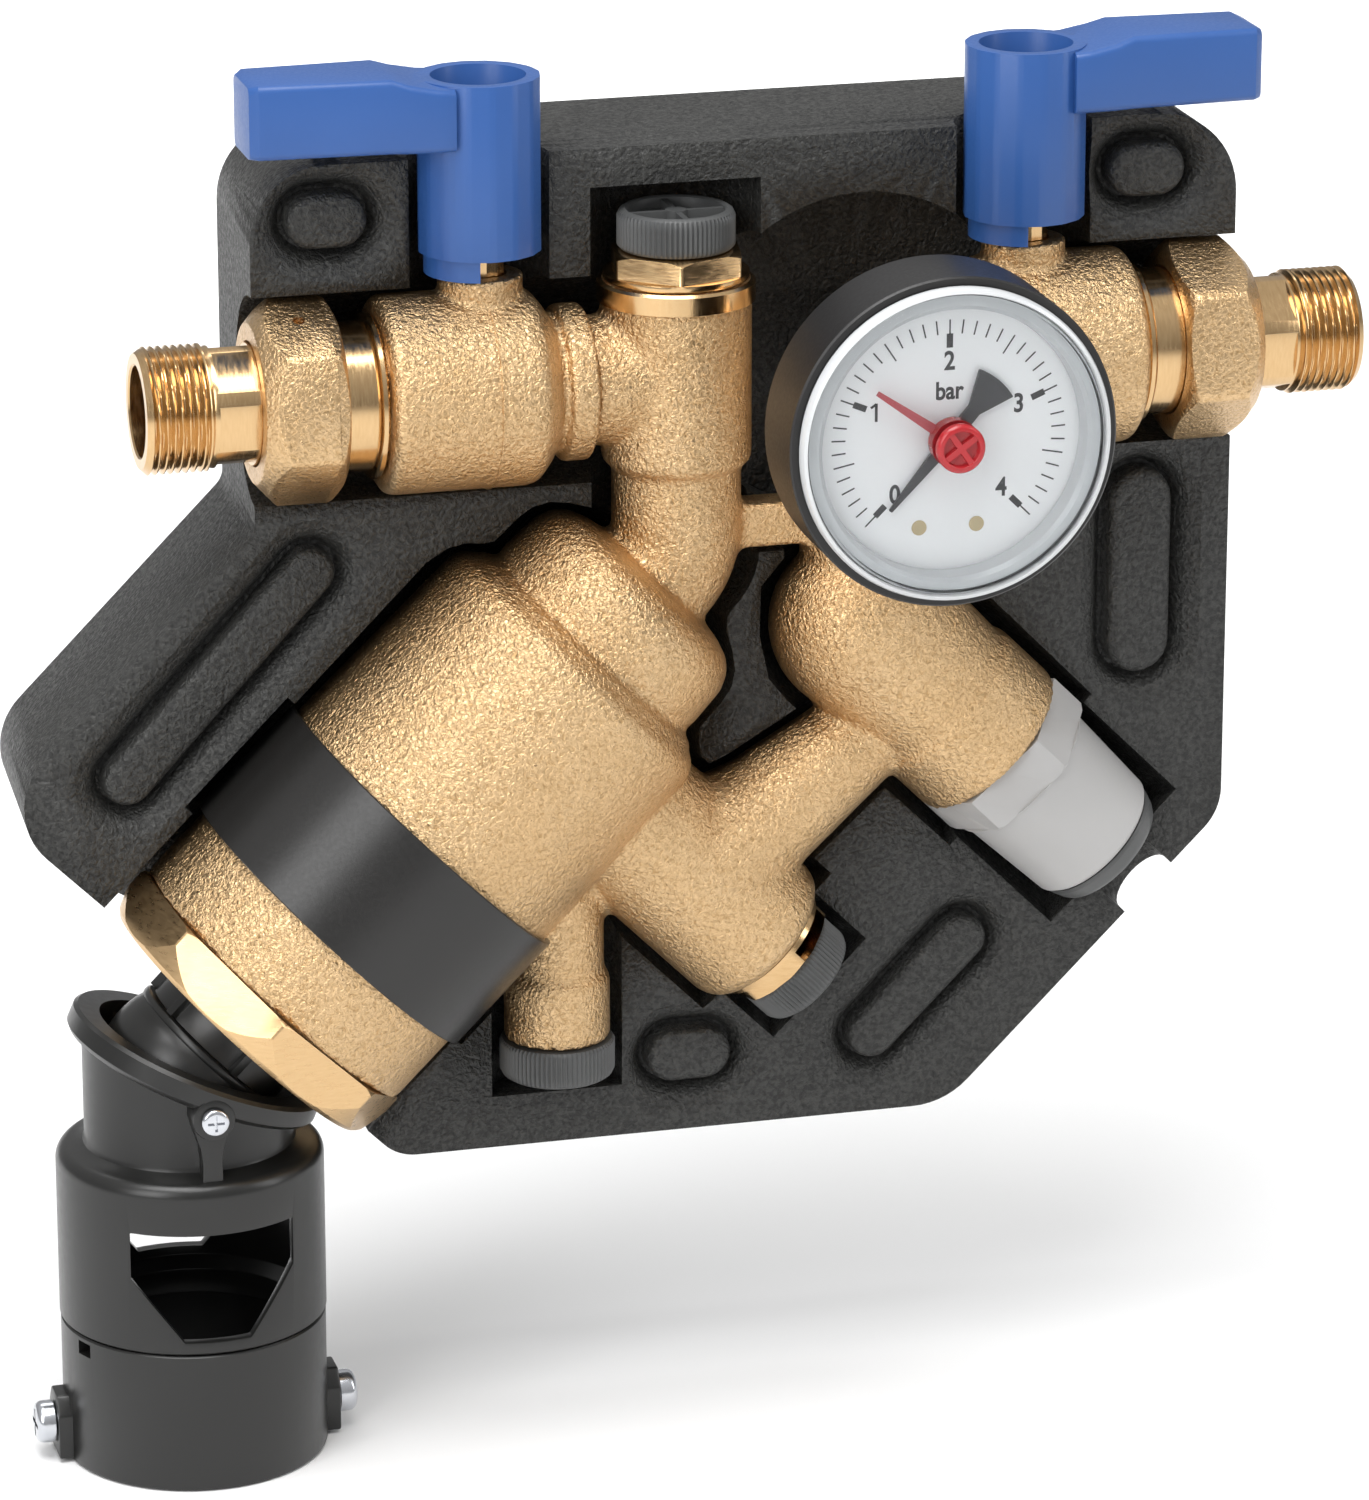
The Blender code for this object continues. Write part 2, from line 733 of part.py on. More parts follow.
def bridge_rings(grow=0.0, bore_r=None, trim=0.0):
    """Loops of the duct from the test branch to the reducing valve."""
    up_right = -DOWN_LEFT
    start = TEST_ORIGIN + up_right * trim
    span = (REDUCER_ORIGIN - TEST_ORIGIN).dot(up_right) - 2.0 * trim
    rings = []
    for share, slide, radius in BRIDGE_STATIONS:
        centre = start + up_right * (span * share) + DOWN_RIGHT * slide
        rings.append(circle(centre, up_right, bore_r if bore_r else radius + grow))
    return rings


def main_body():
    neck_end = VALVE_X - VALVE_INNER - GAP
    tee = [
        (TEE_FOOT, 0.0),
        (TEE_FOOT, TEE_R),
        (TEE_TOP - TEE_RING, TEE_R),
        (TEE_TOP - TEE_RING + 0.0004, TEE_RING_R),
        (TEE_TOP, TEE_RING_R),
        (TEE_TOP, 0.0),
    ]
    body = publish(turned(chamber_section(), CHAMBER_ORIGIN, DOWN_LEFT, 24), "main_body", "cast_brass")
    fuse(body, loft(bend_rings(DOWNPIPE_R)), "downpipe")
    fuse(body, turned(tee, at(TEE_X, 0.0), Z_AXIS), "tee")
    fuse(body, rod(at(-neck_end, 0.0), at(TEE_X, 0.0), NECK_R), "inlet_neck")
    drain = [
        (0.0, 0.0),
        (0.0, DRAIN_UPPER_R),
        (-0.0700 - DRAIN_COLLAR_Z, DRAIN_UPPER_R),
        (-0.0690 - DRAIN_COLLAR_Z, DRAIN_R),
        (-0.0700 - DRAIN_END_Z, DRAIN_R),
        (-0.0700 - DRAIN_END_Z, CAP_SPIGOT_R),
        (-0.0700 - DRAIN_END_Z + CAP_SPIGOT, CAP_SPIGOT_R),
        (-0.0700 - DRAIN_END_Z + CAP_SPIGOT, 0.0),
    ]
    fuse(body, turned(drain, at(DRAIN_X, -0.0700), -Z_AXIS, 16), "drain_branch")
    test = [
        (0.0, 0.0),
        (0.0, TEST_R),
        (TEST_END - 0.0030, TEST_R),
        (TEST_END, TEST_R - 0.0032),
        (TEST_END, 0.0),
    ]
    fuse(body, turned(test, TEST_ORIGIN, DOWN_RIGHT), "test_branch")
    fuse(body, loft(bridge_rings()), "bridge")
    riser = [(0.0, 0.0), (0.0, RISER_R), (-REDUCER_LEVEL, RISER_R)]
    for step in range(1, 4):
        turn = math.radians(90.0) * step / 3.0
        riser.append((-REDUCER_LEVEL + RISER_R * 0.95 * math.sin(turn), RISER_R * math.cos(turn)))
    riser[-1] = (riser[-1][0], 0.0)
    fuse(body, turned(riser, REDUCER_ORIGIN, Z_AXIS), "riser")
    fuse(body, rod(at(RISER_X, 0.0), at(neck_end, 0.0), NECK_R), "outlet_neck")
    steps = 4
    turns = [math.radians(90.0) * i / steps for i in range(steps + 1)]
    globe = [(-REDUCER_BALL_R * math.cos(turn), REDUCER_BALL_R * math.sin(turn)) for turn in turns]
    barrel = globe + [
        (REDUCER_END - 0.0120, REDUCER_R),
        (REDUCER_END, REDUCER_R),
        (REDUCER_END, 0.0),
    ]
    fuse(body, turned(barrel, REDUCER_ORIGIN, DOWN_RIGHT), "reducer_barrel")
    boss_end = GAUGE_ORIGIN + FRONT * GAUGE_BOSS
    fuse(body, rod(GAUGE_ORIGIN + FRONT * 0.0060, boss_end, GAUGE_BOSS_R), "gauge_boss")
    web_low = at(TEE_X + DOWNPIPE_R * 0.6, WEB_BOTTOM, WEB_T / 2.0)
    web_high = at(RISER_X - RISER_R * 0.6, WEB_TOP, -WEB_T / 2.0)
    fuse(body, block(web_low, web_high), "web")

    cut(body, rod(at(TEE_X, TEE_TOP + 0.01), CHAMBER_ORIGIN + Z_AXIS * 0.0020, TEE_BORE_R, 16), "tee_bore")
    cut(body, rod(at(-neck_end - 0.01, 0.0), at(TEE_X - 0.0020, 0.0), PIPE_BORE_R, 14, 0.12), "inlet_bore")
    bore = [
        (-0.0013, 0.0),
        (-0.0013, TEE_BORE_R - 0.0004),
        (CHECK_BORE_START, TEE_BORE_R - 0.0004),
        (CHECK_BORE_START, CHECK_BORE_R),
        (CHAMBER_BORE_START, CHECK_BORE_R),
        (CHAMBER_BORE_START, CHAMBER_BORE_R),
        (SPIGOT_END + 0.01, CHAMBER_BORE_R),
        (SPIGOT_END + 0.01, 0.0),
    ]
    cut(body, turned(bore, CHAMBER_ORIGIN, DOWN_LEFT, 24, 0.11), "chamber_bore")
    cut(body, rod(at(DRAIN_X, -0.0650), at(DRAIN_X, DRAIN_END_Z - 0.02), DRAIN_BORE_R, 10, 0.13), "drain_bore")
    test_mouth = TEST_ORIGIN + DOWN_RIGHT * (TEST_END + 0.01)
    cut(body, rod(TEST_ORIGIN + DOWN_RIGHT * 0.0150, test_mouth, TEST_BORE_R, 16), "test_bore")
    cut(body, loft(bridge_rings(0.0, BRIDGE_BORE_R, 0.0015)), "bridge_bore")
    mouth = [
        (-0.0040, 0.0),
        (-0.0040, REDUCER_PORT_R),
        (REDUCER_PORT, REDUCER_PORT_R),
        (REDUCER_PORT, REDUCER_BORE_R),
        (REDUCER_END + 0.01, REDUCER_BORE_R),
        (REDUCER_END + 0.01, 0.0),
    ]
    cut(body, turned(mouth, REDUCER_ORIGIN, DOWN_RIGHT, 14, 0.09), "reducer_bore")
    riser_start = REDUCER_ORIGIN + Z_AXIS * 0.0021
    cut(body, rod(riser_start, at(RISER_X, 0.0012), RISER_BORE_R, 12, 0.17), "riser_bore")
    cut(body, rod(at(RISER_X + 0.0020, 0.0), at(neck_end + 0.01, 0.0), PIPE_BORE_R, 14, 0.12), "outlet_bore")
    port_end = GAUGE_ORIGIN + FRONT * 0.03
    cut(body, rod(GAUGE_ORIGIN + FRONT * 0.0015, port_end, GAUGE_PORT_R, 10, 0.21), "gauge_port")


def label_band():
    section = [
        (BAND_START, CHAMBER_R + GAP),
        (BAND_START, CHAMBER_R + GAP + BAND_T),
        (BAND_START + BAND_WIDTH, CHAMBER_R + GAP + BAND_T),
        (BAND_START + BAND_WIDTH, CHAMBER_R + GAP),
    ]
    band = publish(turned(section, CHAMBER_ORIGIN, DOWN_LEFT, 24), "label_band", "black_plastic")
    cut(band, rod(at(DRAIN_X, -0.0700), at(DRAIN_X, -0.1200), DRAIN_UPPER_R + 0.0010, 18), "drain_notch")


# Caps, plugs and the strainer

def knurled_cap(name, seat, axis, radius):
    """A closed cap over a spigot that stands on the seat, pointing along the axis."""
    start = GAP
    end = CAP_LENGTH
    floor = end - CAP_WALL_END
    inner = CAP_SPIGOT_R + GAP
    section = [
        (start, inner),
        (start, radius),
        (end - 0.0010, radius),
        (end, radius - 0.0010),
        (end, 0.0),
        (floor, 0.0),
        (floor, inner),
    ]
    publish(turned(section, seat, axis, 16), name, "grey_plastic", pivot=seat)


def strainer_plug():
    origin = at(TEE_X, TEE_TOP)
    top = GAP + PLUG_HEX
    section = [
        (-0.0100, 0.0050),
        (-0.0100, TEE_BORE_R - GAP),
        (GAP, TEE_BORE_R - GAP),
        (GAP, 0.0122),
        (top, 0.0115),
        (top, CAP_SPIGOT_R),
        (top + CAP_SPIGOT, CAP_SPIGOT_R),
        (top + CAP_SPIGOT, 0.0050),
    ]
    plug = publish(turned(section, origin, Z_AXIS, 16), "strainer_plug", "turned_brass")
    corner = PLUG_FLATS / 2.0 / math.cos(math.pi / 6.0)
    trim = wrench_bar(origin, Z_AXIS, -0.02, 0.02, 6, PLUG_FLATS, math.radians(20.0))
    keep_inside(plug, trim, "flats")
    knurled_cap("strainer_cap", origin + Z_AXIS * top, Z_AXIS, PLUG_CAP_R)
    screen_top = TEE_TOP - 0.0100 - GAP
    screen = ring(at(TEE_X, 0.0), Z_AXIS, -0.0280, screen_top, STRAINER_R - 0.0008, STRAINER_R, 12)
    publish(screen, "strainer", "spring_steel")
    return corner


def test_plug():
    top = TEST_END + GAP + TEST_HEX
    section = [
        (TEST_END - 0.0090, 0.0040),
        (TEST_END - 0.0090, TEST_BORE_R - GAP),
        (TEST_END + GAP, TEST_BORE_R - GAP),
        (TEST_END + GAP, 0.0107),
        (top, 0.0103),
        (top, CAP_SPIGOT_R),
        (top + CAP_SPIGOT, CAP_SPIGOT_R),
        (top + CAP_SPIGOT, 0.0040),
    ]
    plug = publish(turned(section, TEST_ORIGIN, DOWN_RIGHT, 16), "test_plug", "turned_brass")
    low = TEST_END + GAP
    trim = wrench_bar(TEST_ORIGIN, DOWN_RIGHT, low, low + 0.02, 6, TEST_FLATS, math.radians(20.0))
    thread_start = TEST_ORIGIN + DOWN_RIGHT * (TEST_END - 0.02)
    thread = rod(thread_start, TEST_ORIGIN + DOWN_RIGHT * (TEST_END + 0.001), 0.012)
    thread = helper(thread, "test_plug_thread_zone")
    combine(thread, helper(trim, "test_plug_hex_zone"), "UNION")
    combine(plug, thread, "INTERSECT")
    knurled_cap("test_cap", TEST_ORIGIN + DOWN_RIGHT * top, DOWN_RIGHT, CAP_R - 0.0003)


# Inside the backflow preventer

def check_valve(prefix, origin, axis, start, length, outer, bore):
    lip = 0.0014
    seat = bore - 0.0018
    housing = [
        (start, seat),
        (start, outer),
        (start + length, outer),
        (start + length, seat),
        (start + length - lip, seat),
        (start + length - lip, bore),
        (start + lip, bore),
        (start + lip, seat),
    ]
    publish(turned(housing, origin, axis), prefix + "_check_housing", "black_plastic")
    face = start + lip + GAP
    poppet = [
        (face - 0.0010, 0.0),
        (face - 0.0010, seat * 0.45),
        (face, seat * 0.8),
        (face, bore - RUN),
        (face + 0.0026, bore - RUN),
        (face + 0.0026, 0.0),
    ]
    publish(turned(poppet, origin, axis), prefix + "_check_poppet", "white_seal",
            pivot=origin + axis * face)


RELIEF_PLATE = 0.0325
RELIEF_PLATE_R = CHAMBER_BORE_R - 0.0045
RELIEF_STEM_R = 0.0078
RELIEF_GUIDE = 0.0720
RELIEF_SEAL_R = 0.0135


def relief_valve():
    seal_face = SPIGOT_END + GAP - GAP
    plunger = [
        (RELIEF_PLATE, 0.0),
        (RELIEF_PLATE, RELIEF_PLATE_R),
        (RELIEF_PLATE + 0.0025, RELIEF_PLATE_R),
        (RELIEF_PLATE + 0.0025, RELIEF_STEM_R),
        (seal_face - 0.0040, RELIEF_STEM_R),
        (seal_face - 0.0040, RELIEF_SEAL_R),
        (seal_face, RELIEF_SEAL_R),
        (seal_face, 0.0),
    ]
    publish(turned(plunger, CHAMBER_ORIGIN, DOWN_LEFT), "relief_plunger", "black_plastic",
            pivot=CHAMBER_ORIGIN + DOWN_LEFT * RELIEF_PLATE)
    publish(ring(CHAMBER_ORIGIN, DOWN_LEFT, RELIEF_PLATE + 0.0004, RELIEF_PLATE + 0.0020,
                 RELIEF_PLATE_R + GAP, CHAMBER_BORE_R - GAP, 24), "relief_diaphragm", "rubber")
    publish(ring(CHAMBER_ORIGIN, DOWN_LEFT, RELIEF_GUIDE, RELIEF_GUIDE + 0.0040,
                 RELIEF_STEM_R + RUN, CHAMBER_BORE_R - GAP, 24), "relief_guide", "black_plastic")
    spring_start = RELIEF_PLATE + 0.0025 + GAP
    publish(coil(CHAMBER_ORIGIN, DOWN_LEFT, spring_start, RELIEF_GUIDE - GAP, 0.0105, 0.0010, 4),
            "relief_spring", "spring_steel")


def discharge_nut():
    start = CHAMBER_END + GAP
    end = start + NUT8_LENGTH
    lip = SPIGOT_END + CUP_FLANGE_T + 2.0 * GAP
    section = [
        (start, SPIGOT_R + GAP),
        (start, NUT8_R),
        (end - 0.0050, NUT8_R),
        (end, NUT8_R - 0.0024),
        (end, NUT8_LIP_R),
        (lip, NUT8_LIP_R),
        (lip, SPIGOT_R + GAP),
    ]
    nut = publish(turned(section, CHAMBER_ORIGIN, DOWN_LEFT, 24), "discharge_nut", "turned_brass",
                  pivot=CHAMBER_ORIGIN + DOWN_LEFT * start)
    turn = math.radians(10.0)
    bar = wrench_bar(CHAMBER_ORIGIN, DOWN_LEFT, start - 0.001, end + 0.001, 8, NUT8_FLATS, turn)
    keep_inside(nut, bar, "flats")


def discharge_cup():
    start = SPIGOT_END + GAP
    ball_start = TUNDISH_S - 0.0060
    ball_end = TUNDISH_S + 0.0060
    steps = 3
    globe = []
    for step in range(steps + 1):
        along = ball_start + (ball_end - ball_start) * step / steps
        globe.append((along, math.sqrt(CUP_BALL_R ** 2 - (along - TUNDISH_S) ** 2)))
    section = [
        (start, CUP_BORE_R),
        (start, SPIGOT_R - GAP),
        (start + CUP_FLANGE_T, SPIGOT_R - GAP),
        (start + CUP_FLANGE_T, CUP_R),
        (ball_start, CUP_R),
    ] + globe + [(ball_end, CUP_BORE_R)]
    cup = publish(turned(section, CHAMBER_ORIGIN, DOWN_LEFT, 16), "discharge_cup", "black_plastic")
    across = side_of(DOWN_LEFT)
    up = DOWN_LEFT.cross(across)
    for index in range(6):
        angle = math.tau * (index + 0.5) / 6.0
        outward = across * math.cos(angle) + up * math.sin(angle)
        edge = DOWN_LEFT.cross(outward)
        root = CHAMBER_ORIGIN + DOWN_LEFT * (start + CUP_FLANGE_T - 0.0008) + outward * (CUP_R - 0.0012)
        foot = [(-0.0008, 0.0), (0.0008, 0.0), (0.0008, 0.0023), (-0.0008, 0.0023)]
        fin = prism(foot, root, edge, outward, DOWN_LEFT, 0.0050)
        fuse(cup, fin, "fin%d" % index)
    for side in (-1.0, 1.0):
        start_y = TUNDISH_PIVOT + Y_AXIS * side * 0.0125
        cut(cup, rod(start_y, TUNDISH_PIVOT + Y_AXIS * side * 0.0200, 0.0014, 8), "pin%d" % side)


# Tundish

def tundish_body():
    top = TUNDISH_PIVOT.z + 0.0180
    shoulder = TUNDISH_PIVOT.z - SHOULDER_DROP
    neck_in = TUNDISH_NECK_R - TUNDISH_NECK_WALL
    axis_point = Vector((TUNDISH_PIVOT.x, PIPE_Y, 0.0))
    section = [
        (TUNDISH_SEAM - 0.0055, DRAIN_PIPE_R - 0.0018),
        (TUNDISH_SEAM - 0.0055, DRAIN_PIPE_R - GAP),
        (TUNDISH_SEAM, DRAIN_PIPE_R - GAP),
        (TUNDISH_SEAM, TUNDISH_R),
        (shoulder, TUNDISH_R),
        (shoulder + 0.0024, TUNDISH_R - 0.0014),
        (shoulder + 0.0036, TUNDISH_NECK_R),
        (top, TUNDISH_NECK_R),
        (top, neck_in),
        (shoulder + 0.0010, neck_in),
        (shoulder - 0.0010, TUNDISH_R - TUNDISH_WALL),
        (TUNDISH_SEAM + 0.0006, TUNDISH_R - TUNDISH_WALL),
        (TUNDISH_SEAM - 0.0012, DRAIN_PIPE_R - 0.0018),
    ]
    blank = turned(section, axis_point, Z_AXIS, 16)
    body = publish(blank, "tundish_body", "black_plastic", pivot=TUNDISH_PIVOT)
    normal = Vector((math.sin(RIM_TILT), 0.0, math.cos(RIM_TILT)))
    along = Vector((math.cos(RIM_TILT), 0.0, -math.sin(RIM_TILT)))
    reach = 0.05
    above = prism([(-reach, -reach), (reach, -reach), (reach, reach), (-reach, reach)],
                  TUNDISH_PIVOT + normal * ((RIM_LOW + RIM_HIGH) / 2.0), along, Y_AXIS, normal, reach)
    cut(body, above, "mouth_plane")
    rim = [
        (RIM_LOW, neck_in + 0.0010),
        (RIM_LOW, RIM_R - 0.0008),
        (RIM_LOW + 0.0008, RIM_R),
        (RIM_HIGH, RIM_R - 0.0006),
        (RIM_HIGH, neck_in + 0.0018),
    ]
    fuse(body, turned(rim, TUNDISH_PIVOT, normal, 16), "rim")
    for side in (-1.0, 1.0):
        y_in = side * (TUNDISH_NECK_R - 0.0012)
        y_out = side * (RIM_R + 0.0002)
        ear_start = TUNDISH_PIVOT + Y_AXIS * y_in
        fuse(body, rod(ear_start, TUNDISH_PIVOT + Y_AXIS * y_out, 0.0036, 10), "ear%d" % side)
        low = TUNDISH_PIVOT + Vector((-0.0018, min(y_in, side * 0.0204), -SHOULDER_DROP + 0.0010))
        high = TUNDISH_PIVOT + Vector((0.0018, max(y_in, side * 0.0204), 0.0))
        fuse(body, block(low, high), "rib%d" % side)
        pin_start = TUNDISH_PIVOT + Y_AXIS * side * 0.0120
        cut(body, rod(pin_start, pin_start + Y_AXIS * side * 0.0180, 0.0014, 8), "pin%d" % side)
    outline = [
        (-WINDOW_HALF, -WINDOW_TOP),
        (-WINDOW_HALF, -WINDOW_SIDE),
        (-WINDOW_FOOT, -WINDOW_LOW),
        (WINDOW_FOOT, -WINDOW_LOW),
        (WINDOW_HALF, -WINDOW_SIDE),
        (WINDOW_HALF, -WINDOW_TOP),
    ]
    cut(body, prism(outline, TUNDISH_PIVOT - Y_AXIS * 0.04, X_AXIS, Z_AXIS, Y_AXIS, 0.08), "windows")


def drain_collar():
    axis_point = Vector((TUNDISH_PIVOT.x, PIPE_Y, 0.0))
    section = [
        (COLLAR_BOTTOM, DRAIN_PIPE_R),
        (COLLAR_BOTTOM, COLLAR_OUT_R - 0.0005),
        (COLLAR_BOTTOM + 0.0005, COLLAR_OUT_R),
        (TUNDISH_SEAM - GAP, COLLAR_OUT_R),
        (TUNDISH_SEAM - GAP, DRAIN_PIPE_R),
    ]
    blank = turned(section, axis_point, Z_AXIS, 16)
    collar = publish(blank, "drain_collar", "black_plastic", pivot=TUNDISH_PIVOT)
    half = LUG_WIDTH / 2.0
    for side in (-1.0, 1.0):
        near = side * (COLLAR_OUT_R - 0.0012)
        far = side * LUG_R
        outline = [(-half, 0.0), (half, 0.0), (half, LUG_HEIGHT - 0.0030), (half - 0.0020, LUG_HEIGHT),
                   (-half + 0.0020, LUG_HEIGHT), (-half, LUG_HEIGHT - 0.0030)]
        foot = Vector((TUNDISH_PIVOT.x + near, PIPE_Y, COLLAR_BOTTOM + LUG_FOOT))
        fuse(collar, prism(outline, foot, Y_AXIS, Z_AXIS, X_AXIS * side, abs(far - near)), "lug%d" % side)
        level = COLLAR_BOTTOM + LUG_FOOT + LUG_HEIGHT * 0.5
        start = Vector((TUNDISH_PIVOT.x + side * 0.018, PIPE_Y, level))
        end = start + X_AXIS * side * 0.012
        cut(collar, rod(start, end, CLAMP_SHANK_R + GAP, 12), "screw_hole%d" % side)
    notch = Vector((TUNDISH_PIVOT.x - 0.0170, PIPE_Y - 0.0150, TUNDISH_SEAM - 0.0080))
    reach = Vector((0.0015, 0.0050, 0.0022))
    cut(collar, block(notch - reach, notch + reach), "key_slot")


def clamp_screw(name, side):
    level = COLLAR_BOTTOM + LUG_FOOT + LUG_HEIGHT * 0.5
    origin = Vector((TUNDISH_PIVOT.x, PIPE_Y, level))
    axis = X_AXIS * side
    head = LUG_R + GAP
    section = [
        (DRAIN_PIPE_R + GAP, 0.0),
        (DRAIN_PIPE_R + GAP, CLAMP_SHANK_R),
        (head, CLAMP_SHANK_R),
        (head, CLAMP_HEAD_R),
        (head + CLAMP_HEAD_T - 0.0004, CLAMP_HEAD_R),
        (head + CLAMP_HEAD_T, CLAMP_HEAD_R - 0.0004),
        (head + CLAMP_HEAD_T, 0.0),
    ]
    screw = publish(turned(section, origin, axis, 12), name, "zinc_steel", pivot=origin + axis * head)
    for turn in range(2):
        reach = Vector((0.0, 0.0024, 0.0004)) if turn else Vector((0.0, 0.0004, 0.0024))
        face = origin + axis * (head + CLAMP_HEAD_T)
        cut(screw, block(face - reach - X_AXIS * 0.0012, face + reach + X_AXIS * 0.0012), "cross%d" % turn)


def pivot_screw(name, side):
    face = RIM_R + 0.0002 + GAP
    section = [
        (0.0130, 0.0),
        (0.0130, 0.0011),
        (face, 0.0011),
        (face, 0.0023),
        (face + 0.0008, 0.0023),
        (face + 0.0013, 0.0012),
        (face + 0.0013, 0.0),
    ]
    publish(turned(section, TUNDISH_PIVOT, Y_AXIS * side, 8), name, "zinc_steel")


# Reducing valve

def reducer():
    start = REDUCER_END + GAP
    base_end = start + BONNET_BASE
    inner = REDUCER_BORE_R
    bonnet = [
        (start, inner),
        (start, 0.0157),
        (base_end, 0.0153),
        (base_end, BONNET_R),
        (BONNET_END, BONNET_TIP_R),
        (BONNET_END, ADJUSTER_R + GAP),
        (BONNET_END - BONNET_WALL, ADJUSTER_R + GAP),
        (BONNET_END - BONNET_WALL, inner - 0.0006),
        (base_end, inner),
    ]
    piece = publish(turned(bonnet, REDUCER_ORIGIN, DOWN_RIGHT, 16), "reducer_bonnet", "light_plastic")
    zone = helper(wrench_bar(REDUCER_ORIGIN, DOWN_RIGHT, start - 0.001, base_end + 0.0001, 6, BONNET_FLATS,
                             math.radians(8.0)), "reducer_bonnet_hex_zone")
    top_start = REDUCER_ORIGIN + DOWN_RIGHT * (base_end - 0.0001)
    top_zone = rod(top_start, REDUCER_ORIGIN + DOWN_RIGHT * 0.08, 0.0140)
    combine(zone, helper(top_zone, "reducer_bonnet_top_zone"), "UNION")
    combine(piece, zone, "INTERSECT")

    plate = 0.0450
    head = BONNET_END + GAP
    adjuster = [
        (plate, 0.0),
        (plate, inner - 0.0010),
        (plate + 0.0022, inner - 0.0010),
        (plate + 0.0022, ADJUSTER_R),
        (head, ADJUSTER_R),
        (head, BONNET_TIP_R - 0.0006),
        (head + ADJUSTER_HEAD_T, BONNET_TIP_R - 0.0016),
        (head + ADJUSTER_HEAD_T, 0.0),
    ]
    screw = publish(turned(adjuster, REDUCER_ORIGIN, DOWN_RIGHT, 16), "reducer_adjuster", "grey_plastic",
                    pivot=REDUCER_ORIGIN + DOWN_RIGHT * head)
    socket = wrench_bar(REDUCER_ORIGIN, DOWN_RIGHT, head + 0.0006, head + 0.02, 6, 0.0080)
    cut(screw, socket, "hex_socket")
    piston = [
        (0.0010, 0.0),
        (0.0010, 0.0032),
        (0.0130, 0.0032),
        (0.0130, REDUCER_BORE_R - RUN),
        (0.0190, REDUCER_BORE_R - RUN),
        (0.0190, 0.0),
    ]
    publish(turned(piston, REDUCER_ORIGIN, DOWN_RIGHT), "reducer_piston", "turned_brass",
            pivot=REDUCER_ORIGIN + DOWN_RIGHT * 0.0130)
    publish(coil(REDUCER_ORIGIN, DOWN_RIGHT, 0.0190 + GAP, plate - GAP, 0.0080, 0.0011, 4),
            "reducer_spring", "spring_steel")


# Gauge

def gauge():
    front = FRONT
    inner = GAUGE_R - GAUGE_WALL
    case = [
        (GAUGE_BACK, 0.0048),
        (GAUGE_BACK, GAUGE_R - 0.0010),
        (GAUGE_BACK + 0.0010, GAUGE_R),
        (GAUGE_CASE_FRONT, GAUGE_R),
        (GAUGE_CASE_FRONT, inner),
        (GAUGE_BACK + 0.0017, inner),
        (GAUGE_BACK + 0.0017, 0.0048),
    ]
    publish(turned(case, GAUGE_ORIGIN, front, 20), "gauge_case", "black_plastic")
    stem_section = [
        (0.0080, 0.0),
        (0.0080, GAUGE_PORT_R - GAP),
        (GAUGE_BOSS + GAP, GAUGE_PORT_R - GAP),
        (GAUGE_BOSS + GAP, 0.0080),
        (0.0300, 0.0080),
        (0.0310, 0.0045),
        (GAUGE_BACK + 0.0017 + GAP, 0.0045),
        (GAUGE_BACK + 0.0017 + GAP, 0.0090),
        (GAUGE_BACK + 0.0070, 0.0090),
        (GAUGE_BACK + 0.0070, 0.0),
    ]
    socket = publish(turned(stem_section, GAUGE_ORIGIN, front, 14), "gauge_stem", "turned_brass")
    hexagon = wrench_bar(GAUGE_ORIGIN, front, GAUGE_BOSS - 0.001, 0.0320, 6, 0.0140)
    zone = helper(hexagon, "gauge_stem_hex_zone")
    movement = rod(GAUGE_ORIGIN + front * 0.0310, GAUGE_ORIGIN + front * 0.0500, 0.0100)
    thread = rod(GAUGE_ORIGIN, GAUGE_ORIGIN + front * (GAUGE_BOSS + GAP / 2.0), 0.0060)
    combine(zone, helper(movement, "gauge_stem_movement_zone"), "UNION")
    combine(zone, helper(thread, "gauge_stem_thread_zone"), "UNION")
    combine(socket, zone, "INTERSECT")
    publish(ring(GAUGE_ORIGIN, front, GAUGE_DIAL, GAUGE_DIAL + DIAL_T, 0.0012, inner - GAP, 20),
            "gauge_dial", "dial_enamel")
    lens = [
        (NEEDLE_Y, inner - 0.0016),
        (NEEDLE_Y, inner - GAP),
        (LENS_BACK, inner - GAP),
        (LENS_BACK, LENS_R),
        (LENS_FRONT - 0.0008, LENS_R),
        (LENS_FRONT, LENS_R - 0.0010),
        (LENS_FRONT, POINTER_HUB_R - 0.0016 + GAP),
        (LENS_FRONT - LENS_T, POINTER_HUB_R - 0.0016 + GAP),
        (LENS_FRONT - LENS_T, inner - 0.0016),
    ]
    publish(turned(lens, GAUGE_ORIGIN, front, 20), "gauge_lens", "clear_plastic")


